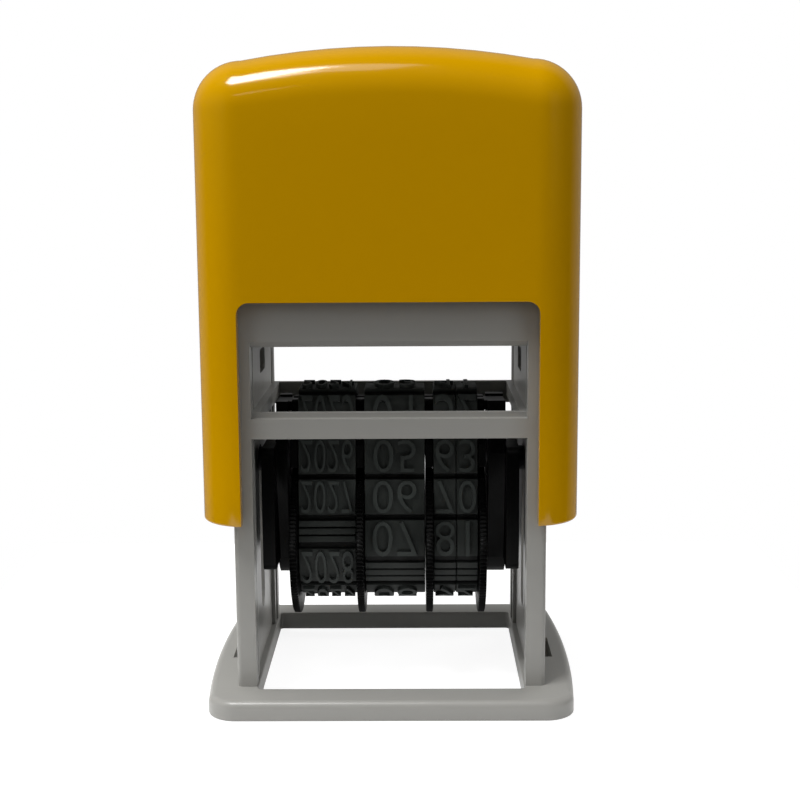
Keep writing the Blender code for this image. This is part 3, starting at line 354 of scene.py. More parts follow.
def steel(name, colour, shade, roughness, spread):
    """Steel whose colour and polish vary with its draw marks, drawn 0.3 mm wide so that they show."""
    material, tree, shader = new_material(name)
    marks = grain(tree, DRAW_MARK)
    spread_colour(tree, marks, shade, colour, shader, "Base Color")
    spread_value(tree, marks, roughness, spread, shader, "Roughness")
    shader.inputs["Metallic"].default_value = 1.0
    return material


def spring_steel(colours):
    """Bright drawn wire of the spring, with soft grey streaks."""
    return steel("drawn_spring_steel", colours.steel, colours.steel_shade, roughness=0.3, spread=0.16)


def blackened_steel(colours):
    """Oil blackened steel of the pins and the axle, dark with a dull metal edge."""
    return steel("blackened_steel", colours.blackened, colours.blackened_shade, roughness=0.42, spread=0.12)


# Mesh helpers


def read_points(mesh):
    """Array of a mesh's points, one row each."""
    points = np.empty(len(mesh.vertices) * 3)
    mesh.vertices.foreach_get("co", points)
    return points.reshape(-1, 3)


def write_points(mesh, points):
    """Put an array of points back into a mesh."""
    mesh.vertices.foreach_set("co", points.ravel())
    mesh.update()


def linked_object(name, data):
    """Object of a mesh, a curve, a lamp or a camera, linked to the scene."""
    item = bpy.data.objects.new(name, data)
    bpy.context.scene.collection.objects.link(item)
    return item


def smooth_shading(mesh):
    """Smooth a mesh's shading over all but its sharp edges."""
    mesh.shade_smooth()
    mesh.set_sharp_from_angle(angle=SHARP_ANGLE)
    return mesh


def ring_quads(rows, columns, close_rows):
    """Quads between neighbouring rings of points, and from the last ring to the first if asked."""
    row = np.arange(rows if close_rows else rows - 1)[:, None]
    column = np.arange(columns)[None, :]
    beside = (column + 1) % columns
    here = row * columns
    after = (row + 1) % rows * columns
    corners = (here + column, here + beside, after + beside, after + column)
    return np.stack(np.broadcast_arrays(*corners), axis=-1).reshape(-1, 4)


def ring_mesh(name, rings, close_rows=False):
    """Closed mesh from an array of rings (rows, columns, 3), with poles and doubles merged."""
    rows, columns, _ = rings.shape
    mesh = bpy.data.meshes.new(name)
    mesh.from_pydata(rings.reshape(-1, 3).tolist(), [], ring_quads(rows, columns, close_rows).tolist())
    return tidy_mesh(mesh)


def tidy_mesh(mesh):
    """Merge doubles, turn every face outwards and smooth all but the sharp edges."""
    shape = bmesh.new()
    shape.from_mesh(mesh)
    bmesh.ops.remove_doubles(shape, verts=shape.verts, dist=WELD_DISTANCE)
    bmesh.ops.recalc_face_normals(shape, faces=shape.faces)
    shape.to_mesh(mesh)
    shape.free()
    return smooth_shading(mesh)


def add_piece(name, mesh, body, material, node):
    """Put a piece in the scene, on its body, in place of the node it stands for."""
    piece = linked_object(name, mesh)
    mesh.materials.clear()
    mesh.materials.append(material)
    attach(piece, body)
    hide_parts(node)
    return piece


def evaluated_mesh(item):
    """Mesh of an object with its modifiers applied."""
    bpy.context.view_layer.update()
    graph = bpy.context.evaluated_depsgraph_get()
    return bpy.data.meshes.new_from_object(item.evaluated_get(graph), depsgraph=graph)


def block_mesh(name, first, second):
    """Closed block between two matching flat outlines, with a face over each."""
    count = len(first)
    sides = ring_quads(2, count, False).tolist()
    faces = sides + [list(range(count)), list(range(2 * count - 1, count - 1, -1))]
    mesh = bpy.data.meshes.new(name)
    mesh.from_pydata(np.concatenate([first, second]).tolist(), [], faces)
    return tidy_mesh(mesh)


def cut_mesh(name, mesh, cutters):
    """Cut closed meshes out of a mesh and return the result, with its flat faces kept flat."""
    body = linked_object(name, mesh)
    tools = [linked_object(name + "_cutter", cutter) for cutter in cutters]
    for tool in tools:
        boolean = body.modifiers.new(tool.name, "BOOLEAN")
        boolean.operation = "DIFFERENCE"
        boolean.solver = "EXACT"
        boolean.object = tool
    result = evaluated_mesh(body)
    for item in [body, *tools]:
        bpy.data.objects.remove(item, do_unlink=True)
    return smooth_shading(result)


def round_edges(piece, width, angle=SHARP_ANGLE):
    """Round a piece's edges that are sharper than an angle, with the flat faces kept flat in shading."""
    bevel = piece.modifiers.new("rounded edges", "BEVEL")
    bevel.width = width
    bevel.segments = EDGE_SEGMENTS
    bevel.limit_method = "ANGLE"
    bevel.angle_limit = angle
    bevel.use_clamp_overlap = True
    bevel.harden_normals = True


def welded_mesh(node):
    """Copy of a CAD node's mesh with its loose triangles welded and its flat faces made whole."""
    mesh = frame["nodes"][node].data.copy()
    shape = bmesh.new()
    shape.from_mesh(mesh)
    bmesh.ops.remove_doubles(shape, verts=shape.verts, dist=WELD_DISTANCE)
    bmesh.ops.dissolve_limit(shape, angle_limit=FLAT_ANGLE, verts=shape.verts, edges=shape.edges)
    shape.to_mesh(mesh)
    shape.free()
    return smooth_shading(mesh)


def revolved_mesh(name, profile, centre_z, columns, reach=None):
    """Solid turned about an axis along X.

    A profile point (radius, x) at turn angle a lies at (x, radius cos a, centre + radius sin a).
    The profile is a closed loop, or runs from pole to pole; reach may change the radii along a.
    """
    profile = np.asarray(profile)
    angle = np.linspace(0.0, FULL_TURN, columns, endpoint=False)
    radius = np.repeat(profile[:, :1], columns, axis=1)
    if reach is not None:
        radius = reach(radius, angle[None, :])
    along = np.repeat(profile[:, 1:], columns, axis=1)
    rings = np.stack([along, radius * np.cos(angle), centre_z + radius * np.sin(angle)], axis=-1)
    return ring_mesh(name, rings, close_rows=profile[0, 0] > 0)


def rounded_plan(half_x, half_y, radius, corner_steps, side_steps):
    """Centres and outward directions round a rectangle whose corners have a radius.

    A point of the outline is its centre plus the radius times its direction. Every corner has
    corner_steps equal turns and every side side_steps equal steps, so two plans with the same
    counts match point by point.
    """
    centres = []
    directions = []
    corners = [(half_x - radius, half_y - radius), (radius - half_x, half_y - radius)]
    corners += [(-x, -y) for x, y in corners]
    for quarter in range(4):
        angle = (quarter + np.linspace(0.0, 1.0, corner_steps + 1)) * math.pi / 2
        here = np.array(corners[quarter])
        after = np.array(corners[(quarter + 1) % 4])
        share = np.linspace(0.0, 1.0, side_steps + 1)[1:-1, None]
        centres += [np.repeat(here[None, :], corner_steps + 1, axis=0), here + (after - here) * share]
        turn = np.stack([np.cos(angle), np.sin(angle)], axis=-1)
        directions += [turn, np.repeat(turn[-1:], side_steps - 1, axis=0)]
    return np.concatenate(centres), np.concatenate(directions)


def plan_ring(plan, reach, height):
    """Ring at a reach from a plan's centres, at a height that may vary round it."""
    centres, directions = plan
    return np.column_stack([centres + reach * directions, np.broadcast_to(height, len(centres))])


def quarter_turn(steps):
    """Rows of the cosine and the sine of equal steps from 0 to 90 degrees."""
    angle = np.linspace(0.0, math.pi / 2, steps + 1)
    return np.column_stack([np.cos(angle), np.sin(angle)])


def arc_rings(plan, reach, height, across, up, turns):
    """Rings whose reach grows by the cosine times across, and whose height by the sine times up."""
    return [plan_ring(plan, reach + across * cosine, height + up * sine) for cosine, sine in turns]


# Settings that a user may change


def length_property(label, description, default):
    """Length setting in metres."""
    return FloatProperty(name=label, description=description, default=default, unit="LENGTH")


def colour_property(label, code):
    """Colour setting with its default from an sRGB hex code."""
    note = label + ", linear"
    return FloatVectorProperty(name=label, description=note, default=srgb(code)[:3], subtype="COLOR", size=3)


class StampSizes(bpy.types.PropertyGroup):
    """Sizes of the fine forms, in metres."""

    cap_edge: length_property("Cap edge radius", "Roll radius of the corners and top edge", default=0.0048)
    cap_wall: length_property("Cap wall", "Wall of the cap", default=0.0014)
    cap_crown: length_property("Cap crown", "Rise of the cap's arched top", default=0.0023)
    cap_window_top: length_property("Cap window top", "Height of the cap's cut-outs", default=0.0414)
    cap_window_half_width: length_property(
        "Cap window half width", "Half the width of the cut-outs", default=0.01474
    )
    cap_window_corner: length_property("Cap window corner", "Corner radius of the cut-outs", default=0.00125)
    rim_fillet: length_property("Rim fillet", "Rounding of the lower rim and the cut-outs", default=0.00025)
    frame_fillet: length_property("Frame fillet", "Rounding of the frame's edges", default=0.00015)
    base_edge: length_property("Base edge radius", "Rounding of the base's top edge", default=0.0008)
    base_corner: length_property("Base corner radius", "Corner radius of the base's plan", default=0.0030)
    base_bow: length_property("Base side bow", "How far the base's sides bow outwards", default=0.0010)
    carrier_fillet: length_property("Carrier fillet", "Rounding of the carrier's edges", default=0.00008)
    knurl_depth: length_property("Knurl depth", "Depth of the thumbwheels' teeth", default=0.00014)
    knurl_teeth: IntProperty(name="Knurl teeth", description="Teeth round each thumbwheel", default=120)
    glyph_height: length_property("Number relief", "Height of the raised numbers", default=0.0004)
    glyph_size: length_property("Number size", "Height of a number on its band", default=0.0034)


class StampColours(bpy.types.PropertyGroup):
    """Colours of the finishes."""

    cap: colour_property("Cap yellow", "#B98900")
    cap_shade: colour_property("Cap yellow in the drift", "#B58500")
    frame: colour_property("Frame grey", "#8D8C88")
    frame_shade: colour_property("Frame grey in the drift", "#888783")
    carrier: colour_property("Carrier black", "#070707")
    carrier_shade: colour_property("Carrier black in the drift", "#050505")
    rubber: colour_property("Band rubber", "#2B2E2C")
    # The bands' grooves are painted darker for shade as well as ink, and their number faces paler for a
    # painted highlight as well as being worn
    rubber_inked_and_shaded: colour_property("Band rubber under ink and painted shade", "#070807")
    rubber_worn_and_highlighted: colour_property("Band rubber on the type, worn and with a painted highlight", "#373B39")
    steel: colour_property("Spring steel", "#C4C5C6")
    steel_shade: colour_property("Spring steel in its streaks", "#A9AAAC")
    blackened: colour_property("Blackened steel", "#2C2C2E")
    blackened_shade: colour_property("Blackened steel in its streaks", "#1B1B1C")


class StampSettings(bpy.types.PropertyGroup):
    """Sizes and colours of the dressed stamp."""

    sizes: PointerProperty(type=StampSizes)
    colours: PointerProperty(type=StampColours)


# Cap


def cap_rings(sizes):
    """Rings of the cap from its outer crown down to the rim and up to its inner crown.

    Each ring follows a plan rectangle shrunk by the edge radius. Down the side a point is that
    plan's point plus the radius along its plan direction; over the edge the plan direction is
    weighted by the cosine of the roll and the height by its sine; on the crown the plan shrinks
    towards the middle. The crown's height is an arc across X, and the rim between the two sides
    has a quarter turn of the fillet at each.
    """
    low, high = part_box("cap_shell")
    half_x = high.x
    side_top = high.z - sizes.cap_crown
    arch_radius = (half_x**2 + sizes.cap_crown**2) / (2 * sizes.cap_crown)
    plan = rounded_plan(half_x, high.y, sizes.cap_edge, CAP_ROLL_STEPS, CAP_SIDE_STEPS)
    fillet = sizes.rim_fillet
    foot = low.z + fillet

    def crown(x, drop):
        """Height of the arched top over x, lowered by the wall on the inner side."""
        return side_top + sizes.cap_crown - arch_radius + np.sqrt(arch_radius**2 - x**2) - drop

    def shell(radius, drop):
        """Rings from the foot up one side of the wall to the crown's middle."""
        centres = plan[0]
        x = centres[:, 0]
        roll_z = crown(x, drop) - radius
        rings = []
        for share in np.linspace(0.0, 1.0, CAP_WALL_STEPS + 1)[:-1]:
            rings.append(plan_ring(plan, radius, foot + (roll_z - foot) * share))
        rings += arc_rings(plan, 0.0, roll_z, radius, radius, quarter_turn(CAP_ROLL_STEPS))
        for share in np.linspace(1.0, 0.0, CAP_CROWN_STEPS + 1)[1:]:
            rings.append(np.column_stack([centres * share, crown(x * share, drop)]))
        return rings

    outer = shell(sizes.cap_edge, 0.0)
    inner_radius = sizes.cap_edge - sizes.cap_wall
    inner = shell(inner_radius, sizes.cap_wall)
    turns = quarter_turn(FILLET_STEPS)[1:]
    rim = arc_rings(plan, sizes.cap_edge - fillet, foot, fillet, -fillet, turns)
    rim += arc_rings(plan, inner_radius + fillet, foot, -fillet, -fillet, turns[::-1])
    return np.array(outer[::-1] + rim + inner)


def window_cutter(sizes):
    """Upright block with round top corners, through the cap from the front to the back.

    A corner point is the corner's centre plus its radius times the cosine outwards and the sine up.
    """
    low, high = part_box("cap_shell")
    half = sizes.cap_window_half_width
    corner = sizes.cap_window_corner
    top = sizes.cap_window_top
    foot = low.z - sizes.cap_edge
    cosine, sine = quarter_turn(WINDOW_CORNER_STEPS).T
    right = np.column_stack([half - corner + corner * cosine, top - corner + corner * sine])
    left = np.column_stack([corner - half - corner * cosine[::-1], top - corner + corner * sine[::-1]])
    outline = np.concatenate([[(-half, foot), (half, foot)], right, left])
    front = np.column_stack([outline[:, 0], np.full(len(outline), -2 * high.y), outline[:, 1]])
    return block_mesh("cap_window", front, front * (1, -1, 1))


class STAMP_OT_cap(bpy.types.Operator):
    """Make the rounded cap with its two cut-outs"""

    bl_idname = "stamp.cap"
    bl_label = "Cap"

    def execute(self, context):
        stamp = context.scene.stamp
        sizes = stamp.sizes
        shell = ring_mesh("cap", cap_rings(sizes))
        mesh = cut_mesh("cap", shell, [window_cutter(sizes)])
        material = cap_abs(stamp.colours)
        piece = add_piece("cap", mesh, "cap", material, "cap_shell")
        round_edges(piece, sizes.rim_fillet, CAP_BEVEL_ANGLE)
        return {"FINISHED"}


# Frame and base


class STAMP_OT_frame(bpy.types.Operator):
    """Make the frame's moulding with rounded edges and feet that stand on the base"""

    bl_idname = "stamp.frame"
    bl_label = "Frame"

    def execute(self, context):
        stamp = context.scene.stamp
        mesh = welded_mesh("frame")
        stand_on_base(mesh)
        material = frame_abs(stamp.colours)
        piece = add_piece("frame_moulding", mesh, "frame", material, "frame")
        round_edges(piece, stamp.sizes.frame_fillet)
        return {"FINISHED"}


def stand_on_base(mesh):
    """Lower the frame's feet over the fitting gap until they meet the base's top."""
    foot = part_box("base_ring")[1].z
    points = read_points(mesh)
    at_foot = np.abs(points[:, 2] - (foot + FIT_GAP)) < FOOT_TOLERANCE
    points[at_foot, 2] = foot
    write_points(mesh, points)


def base_rings(sizes):
    """Rings of the base's section, from the outer foot over the top edge and down the opening.

    A section point is a plan centre plus a reach along the plan direction, at a height. The top
    outer edge rolls over a quarter turn; every other edge has a small fillet.
    """
    low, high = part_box("base_ring")
    steps = (BASE_CORNER_STEPS, BASE_SIDE_STEPS)
    centres, directions = rounded_plan(high.x, high.y, sizes.base_corner, *steps)
    bow = sizes.base_bow * (centres[:, 1] / high.y) ** 2
    outer = (centres - np.column_stack([np.sign(centres[:, 0]) * bow, 0 * bow]), directions)
    inner = rounded_plan(OPENING_HALF_WIDTH, OPENING_HALF_DEPTH, OPENING_CORNER, *steps)
    small = sizes.frame_fillet
    edge = sizes.base_edge
    corner = sizes.base_corner
    hole = OPENING_CORNER + small
    turns = quarter_turn(FILLET_STEPS)
    rings = arc_rings(outer, corner - small, low.z + small, small, -small, turns[::-1])
    rings += arc_rings(outer, corner - edge, high.z - edge, edge, edge, quarter_turn(BASE_EDGE_STEPS))
    rings += arc_rings(inner, hole, high.z - small, -small, small, turns[::-1])
    rings += arc_rings(inner, hole, low.z + small, -small, -small, turns)
    return np.array(rings)


def snap_hole_cutter(side):
    """Upright block through the base, whose front and back walls lean together towards the foot.

    Its lower outline is the upper one with the distances in Y from the middle times a share.
    """
    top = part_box("base_ring")[1].z + FIT_GAP
    inner, outer = side * SNAP_HOLE_INNER_X, side * SNAP_HOLE_OUTER_X
    half = SNAP_HOLE_HALF_LENGTH
    upper = np.array([(inner, -half, top), (outer, -half, top), (outer, half, top), (inner, half, top)])
    lower = upper * (1, SNAP_HOLE_FOOT_SHARE, 0) - (0, 0, FIT_GAP)
    return block_mesh("snap_hole", lower, upper)


class STAMP_OT_base(bpy.types.Operator):
    """Make the base ring with its rolled top edge and snap holes"""

    bl_idname = "stamp.base"
    bl_label = "Base ring"

    def execute(self, context):
        stamp = context.scene.stamp
        ring = ring_mesh("base", base_rings(stamp.sizes), close_rows=True)
        mesh = cut_mesh("base", ring, [snap_hole_cutter(side) for side in (-1, 1)])
        material = frame_abs(stamp.colours)
        add_piece("base", mesh, "frame", material, "base_ring")
        return {"FINISHED"}


# Yoke and carrier


class STAMP_OT_yoke(bpy.types.Operator):
    """Make the yoke that hangs in the cap"""

    bl_idname = "stamp.yoke"
    bl_label = "Yoke"

    def execute(self, context):
        stamp = context.scene.stamp
        material = frame_abs(stamp.colours)
        piece = add_piece("yoke_moulding", welded_mesh("yoke"), "cap", material, "yoke")
        round_edges(piece, stamp.sizes.frame_fillet)
        return {"FINISHED"}


def thicken(mesh, box, spread):
    """Move the two faces of an upright plate apart along X, each by the spread."""
    middle = (box[0].x + box[1].x) / 2
    points = read_points(mesh)
    points[:, 0] += np.sign(points[:, 0] - middle) * spread
    write_points(mesh, points)


class STAMP_OT_carrier(bpy.types.Operator):
    """Make the carrier's cheeks, platen and dividers with rounded edges"""

    bl_idname = "stamp.carrier"
    bl_label = "Carrier"

    def execute(self, context):
        stamp = context.scene.stamp
        material = carrier_acetal(stamp.colours)
        meshes = {node: welded_mesh(node) for node in ("left_cheek", "right_cheek", "platen")}
        for number in range(1, BAND_COUNT + 1):
            node = f"band_divider_{number}"
            meshes[node] = welded_mesh(node)
            thicken(meshes[node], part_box(node), DIVIDER_SPREAD)
        for node, mesh in meshes.items():
            piece = add_piece(node + "_moulding", mesh, "carrier", material, node)
            round_edges(piece, stamp.sizes.carrier_fillet)
        return {"FINISHED"}


# Thumbwheels


def knurled_wheel(number, sizes):
    """Thumbwheel turned about the axle: a toothed disc, a drum and a bore.

    The rim's radius loses the knurl depth times a triangle wave of the turn angle, as many
    times round as the wheel has teeth; the rest of the profile is plain.
    """
    low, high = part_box(f"thumbwheel_{number}")
    edge = sizes.carrier_fillet
    face, drum_end, out = (low.x, high.x, 1) if DISC_ON_LEFT[number - 1] else (high.x, low.x, -1)
    near = face - out * DISC_SPREAD
    far = face + out * DISC_THICKNESS + out * DISC_SPREAD
    rim = [(RIM_SPAN * edge, 0.0), (edge, edge / RIM_SPAN), (0.0, edge)]
    profile = [(BORE_RADIUS, near), (DRUM_RADIUS, near)]
    profile += [(DISC_RADIUS - inwards, near + out * depth) for inwards, depth in rim]
    profile += [(DISC_RADIUS - inwards, far - out * depth) for inwards, depth in reversed(rim)]
    profile += [(DRUM_RADIUS, far), (DRUM_RADIUS, drum_end), (BORE_RADIUS, drum_end)]

    def toothed(radius, angle):
        """Radius with the teeth pressed into the rim."""
        phase = (angle * sizes.knurl_teeth / FULL_TURN) % 1.0
        notch = np.abs(2 * phase - 1)
        root = TOOTH_SPAN * edge
        share = np.clip((radius - (DISC_RADIUS - root)) / root, 0, 1)
        return radius - sizes.knurl_depth * notch * share

    columns = POINTS_PER_TOOTH * sizes.knurl_teeth
    return revolved_mesh(f"thumbwheel_{number}_knurled", profile, AXLE_Z, columns, toothed)


class STAMP_OT_wheels(bpy.types.Operator):
    """Make the four knurled thumbwheels"""

    bl_idname = "stamp.wheels"
    bl_label = "Thumbwheels"

    def execute(self, context):
        stamp = context.scene.stamp
        material = carrier_acetal(stamp.colours)
        for number in range(1, BAND_COUNT + 1):
            mesh = knurled_wheel(number, stamp.sizes)
            name = f"thumbwheel_{number}"
            add_piece(name + "_knurled", mesh, f"wheel_{number}", material, name)
        return {"FINISHED"}


# Date bands


class BeltPath:
    """Closed path of a band's inner side, sampled finely and read by distance.

    It runs from the middle of the platen's top to the front, round the platen's corner, down a
    straight that touches the corner and the drum, round the drum and up the back the same way.
    """

    def __init__(self):
        corner_y = PLATEN_HALF_WIDTH - PLATEN_CORNER
        corner_z = PLATEN_TOP - PLATEN_CORNER
        drum = DRUM_RADIUS + FIT_GAP
        corner = PLATEN_CORNER + FIT_GAP
        rise = corner_z - AXLE_Z
        lean = math.asin((drum - corner) / math.hypot(corner_y, rise)) - math.atan2(corner_y, rise)
        top, front, back = math.pi / 2, math.pi - lean, FULL_TURN + lean
        end = FULL_TURN + top
        arcs = [
            (0.0, corner_z, corner, [top, top]),
            (-corner_y, corner_z, corner, np.linspace(top, front, PLATEN_CORNER_STEPS)),
            (0.0, AXLE_Z, drum, np.linspace(front, back, DRUM_STEPS)),
            (corner_y, corner_z, corner, np.linspace(back, end, PLATEN_CORNER_STEPS)),
            (0.0, corner_z, corner, [end, end]),
        ]
        y = np.concatenate([centre_y + radius * np.cos(turn) for centre_y, _, radius, turn in arcs])
        z = np.concatenate([centre_z + radius * np.sin(turn) for _, centre_z, radius, turn in arcs])
        angle = np.concatenate([np.asarray(turn) for _, _, _, turn in arcs])
        middle_y = y + BELT_THICKNESS / 2 * np.cos(angle)
        middle_z = z + BELT_THICKNESS / 2 * np.sin(angle)
        steps = np.hypot(np.diff(middle_y), np.diff(middle_z))
        self.mark = np.concatenate([[0.0], np.cumsum(steps)]) + np.arange(len(y)) * MARK_STEP
        self.length = self.mark[-1]
        self.y, self.z, self.angle = y, z, angle

    def points(self, x, distance, height):
        """Points at x, a distance along the path and a height over the belt's inner side."""
        distance = np.mod(distance, self.length)
        angle = np.interp(distance, self.mark, self.angle)
        y = np.interp(distance, self.mark, self.y) + height * np.cos(angle)
        z = np.interp(distance, self.mark, self.z) + height * np.sin(angle)
        return np.stack(np.broadcast_arrays(x, y, z), axis=-1)


def row_edges(texts, path):
    """Distances of the grooves between a band's rows, from the one before the top row.

    The path is shared out into rows of one length, but a row without a number is a share of it.
    """
    shares = np.array([RIDGED_ROW_SHARE if text is None else 1.0 for text in texts])
    pitch = path.length / shares.sum()
    edges = np.concatenate([[0.0], np.cumsum(shares)]) * pitch
    return edges - pitch / 2 + ROW_SHIFT


def belt_stations(edges, texts):
    """Distances and belt heights along the path.

    A row with a number is a block between two grooves, and a row without is a group of ridges.
    """
    marks = []
    heights = []
    for start, end, text in zip(edges[:-1], edges[1:], texts):
        low, high = start + GROOVE_WIDTH / 2, end - GROOVE_WIDTH / 2
        if text is None:
            span = (high - low) / RIDGES_PER_ROW
            for index in range(RIDGES_PER_ROW):
                first = low + (index + RIDGE_START_SHARE) * span
                last = low + (index + RIDGE_END_SHARE) * span
                marks += [first - GROOVE_SLOPE, first, (first + last) / 2, last, last + GROOVE_SLOPE]
                heights += [BELT_THICKNESS, BAND_FACE, BAND_FACE + RIDGE_CROWN, BAND_FACE, BELT_THICKNESS]
        else:
            inside = np.linspace(low + GROOVE_SLOPE, high - GROOVE_SLOPE, BLOCK_STEPS)
            marks += [low - GROOVE_SLOPE / 2, *inside, high + GROOVE_SLOPE / 2]
            heights += [BELT_THICKNESS, *np.full(len(inside), BAND_FACE), BELT_THICKNESS]
    return np.array(marks), np.array(heights)


def belt_mesh(name, low_x, high_x, path, texts):
    """Closed belt whose section is a slab with softened outer corners, carried along the path."""
    marks, heights = belt_stations(row_edges(texts, path), texts)
    across = np.array([low_x, low_x, low_x + BELT_EDGE, high_x - BELT_EDGE, high_x, high_x])
    sunk = np.array([0.0, BELT_EDGE, 0.0, 0.0, BELT_EDGE, 0.0])
    top = np.array([0.0, 1.0, 1.0, 1.0, 1.0, 0.0])
    height = heights[:, None] * top - sunk
    rings = path.points(across, np.broadcast_to(marks[:, None], height.shape), height)
    return ring_mesh(name, rings, close_rows=True)


def number_mesh(text, size, relief_height, width):
    """Raised number in a flat frame: x across, y up the number and z out, no wider than asked."""
    curve = bpy.data.curves.new("number", "FONT")
    curve.body = text
    curve.align_x = "CENTER"
    curve.size = 1.0
    curve.extrude = STROKE_HALF_DEPTH
    curve.offset = STROKE_OFFSET
    curve.resolution_u = STROKE_STEPS
    item = linked_object("number", curve)
    mesh = evaluated_mesh(item)
    bpy.data.objects.remove(item, do_unlink=True)
    points = read_points(mesh)
    low, high = points.min(axis=0), points.max(axis=0)
    scale_y = size / (high[1] - low[1])
    scale_x = min(scale_y, width / (high[0] - low[0]))
    points = (points - (low + high) / 2) * (scale_x, scale_y, relief_height)
    points[:, 2] += relief_height / 2
    write_points(mesh, points)
    return mesh


def cut_across(mesh, size):
    """Slice a flat number into level strips, so that it can bend round the belt's curves."""
    shape = bmesh.new()
    shape.from_mesh(mesh)
    bmesh.ops.remove_doubles(shape, verts=shape.verts, dist=WELD_DISTANCE)
    for level in np.linspace(-size / 2, size / 2, NUMBER_STRIPS + 1)[1:-1]:
        parts = shape.verts[:] + shape.edges[:] + shape.faces[:]
        bmesh.ops.bisect_plane(shape, geom=parts, plane_co=(0.0, level, 0.0), plane_no=(0.0, 1.0, 0.0))
    shape.to_mesh(mesh)
    shape.free()


def joined_mesh(name, meshes):
    """One mesh that holds several closed meshes."""
    shape = bmesh.new()
    for mesh in meshes:
        shape.from_mesh(mesh)
        bpy.data.meshes.remove(mesh)
    bmesh.ops.recalc_face_normals(shape, faces=shape.faces)
    joined = bpy.data.meshes.new(name)
    shape.to_mesh(joined)
    shape.free()
    return smooth_shading(joined)


def band_mesh(number, sizes, path):
    """Date band: the belt with its rows, and a mirrored raised number on each block."""
    low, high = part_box(f"date_band_{number}")
    texts = BAND_TEXTS[number - 1]
    edges = row_edges(texts, path)
    width = (high.x - low.x) * NUMBER_WIDTH_SHARE
    meshes = [belt_mesh(f"belt_{number}", low.x - BAND_SPREAD, high.x + BAND_SPREAD, path, texts)]
    for start, end, text in zip(edges[:-1], edges[1:], texts):
        if text is None:
            continue
        mesh = number_mesh(text, sizes.glyph_size, sizes.glyph_height + NUMBER_SINK, width)
        cut_across(mesh, sizes.glyph_size)
        points = read_points(mesh)
        across = (low.x + high.x) / 2 + points[:, 0]
        along = (start + end) / 2 + points[:, 1]
        write_points(mesh, path.points(across, along, BAND_FACE - NUMBER_SINK + points[:, 2]))
        meshes.append(mesh)
    mesh = joined_mesh(f"date_band_{number}_type", meshes)
    store_relief(mesh, path, sizes)
    return mesh


def store_relief(mesh, path, sizes):
    """Keep each point's share of the relief.

    It is the point's distance from the path less the belt's thickness, over the whole relief.
    """
    points = read_points(mesh)
    marks = np.linspace(0.0, path.length, RELIEF_STEPS)
    line = path.points(np.zeros(RELIEF_STEPS), marks, 0.0)[:, 1:]
    nearest = np.full(len(points), np.inf)
    for place in line:
        nearest = np.minimum(nearest, np.hypot(*(points[:, 1:] - place).T))
    share = (nearest - BELT_THICKNESS) / (BLOCK_HEIGHT + sizes.glyph_height)
    layer = mesh.attributes.new("relief", "FLOAT", "POINT")
    layer.data.foreach_set("value", np.clip(share, 0, 1))


class STAMP_OT_bands(bpy.types.Operator):
    """Make the four rubber date bands with their raised numbers"""

    bl_idname = "stamp.bands"
    bl_label = "Date bands"

    def execute(self, context):
        stamp = context.scene.stamp
        material = band_rubber(stamp.colours)
        path = BeltPath()
        for number in range(1, BAND_COUNT + 1):
            mesh = band_mesh(number, stamp.sizes, path)
            name = f"date_band_{number}"
            add_piece(name + "_type", mesh, "carrier", material, name)
        return {"FINISHED"}


# Pins, axle and spring


def pin_profile(low_x, high_x, side):
    """Pole to pole profile of a pivot pin: head, shank and a chamfered tip."""
    head, tip = (low_x, high_x) if side > 0 else (high_x, low_x)
    return [
        (0.0, head),
        (PIN_HEAD_RADIUS - PIN_CHAMFER, head),
        (PIN_HEAD_RADIUS, head + side * PIN_CHAMFER),
        (PIN_HEAD_RADIUS, head + side * PIN_HEAD_LENGTH),
        (PIN_RADIUS, head + side * PIN_HEAD_LENGTH),
        (PIN_RADIUS, tip - side * PIN_CHAMFER),
        (PIN_RADIUS - PIN_CHAMFER, tip),
        (0.0, tip),
    ]


def axle_profile(low_x, high_x):
    """Pole to pole profile of the axle with a rounded head at each end.

    A head is a quarter ellipse: its radius grows as the sine, and its length as one less the cosine.
    """
    turns = quarter_turn(AXLE_HEAD_STEPS)[1:]
    left = [(0.0, low_x)]
    left += [(AXLE_HEAD_RADIUS * sine, low_x + AXLE_HEAD_LENGTH * (1 - cosine)) for cosine, sine in turns]
    left.append((AXLE_RADIUS, low_x + AXLE_HEAD_LENGTH))
    middle = low_x + high_x
    return left + [(radius, middle - x) for radius, x in reversed(left)]


def spring_rings(low_z, high_z):
    """Tube along a helix whose first and last turns rise less than the rest.

    A ring point is the helix point plus the wire's radius times the cosine of its angle along
    the outward radius and its sine along the direction square to that and to the wire.
    """
    turns = np.linspace(0.0, SPRING_TURNS, SPRING_TURNS * SPRING_STEPS_PER_TURN + 1)
    foot = low_z + WIRE_RADIUS
    middle_pitch = (high_z - low_z - 2 * WIRE_RADIUS - 2 * END_TURN_PITCH) / (SPRING_TURNS - 2)
    first = np.minimum(turns, 1.0)
    last = np.maximum(turns - (SPRING_TURNS - 1), 0.0)
    height = foot + (first + last) * END_TURN_PITCH + (turns - first - last) * middle_pitch
    angle = FULL_TURN * turns
    outward = np.stack([np.cos(angle), np.sin(angle), np.zeros_like(angle)], axis=-1)
    line = SPRING_RADIUS * outward + np.stack([0 * height, 0 * height, height], axis=-1)
    tangent = np.gradient(line, axis=0)
    tangent /= np.linalg.norm(tangent, axis=1, keepdims=True)
    square = np.cross(tangent, outward)
    around = np.linspace(0.0, FULL_TURN, WIRE_COLUMNS, endpoint=False)[None, :, None]
    section = np.cos(around) * outward[:, None] + np.sin(around) * square[:, None]
    first, last = (np.repeat(line[index][None, None], WIRE_COLUMNS, axis=1) for index in (0, -1))
    return np.concatenate([first, line[:, None] + WIRE_RADIUS * section, last])


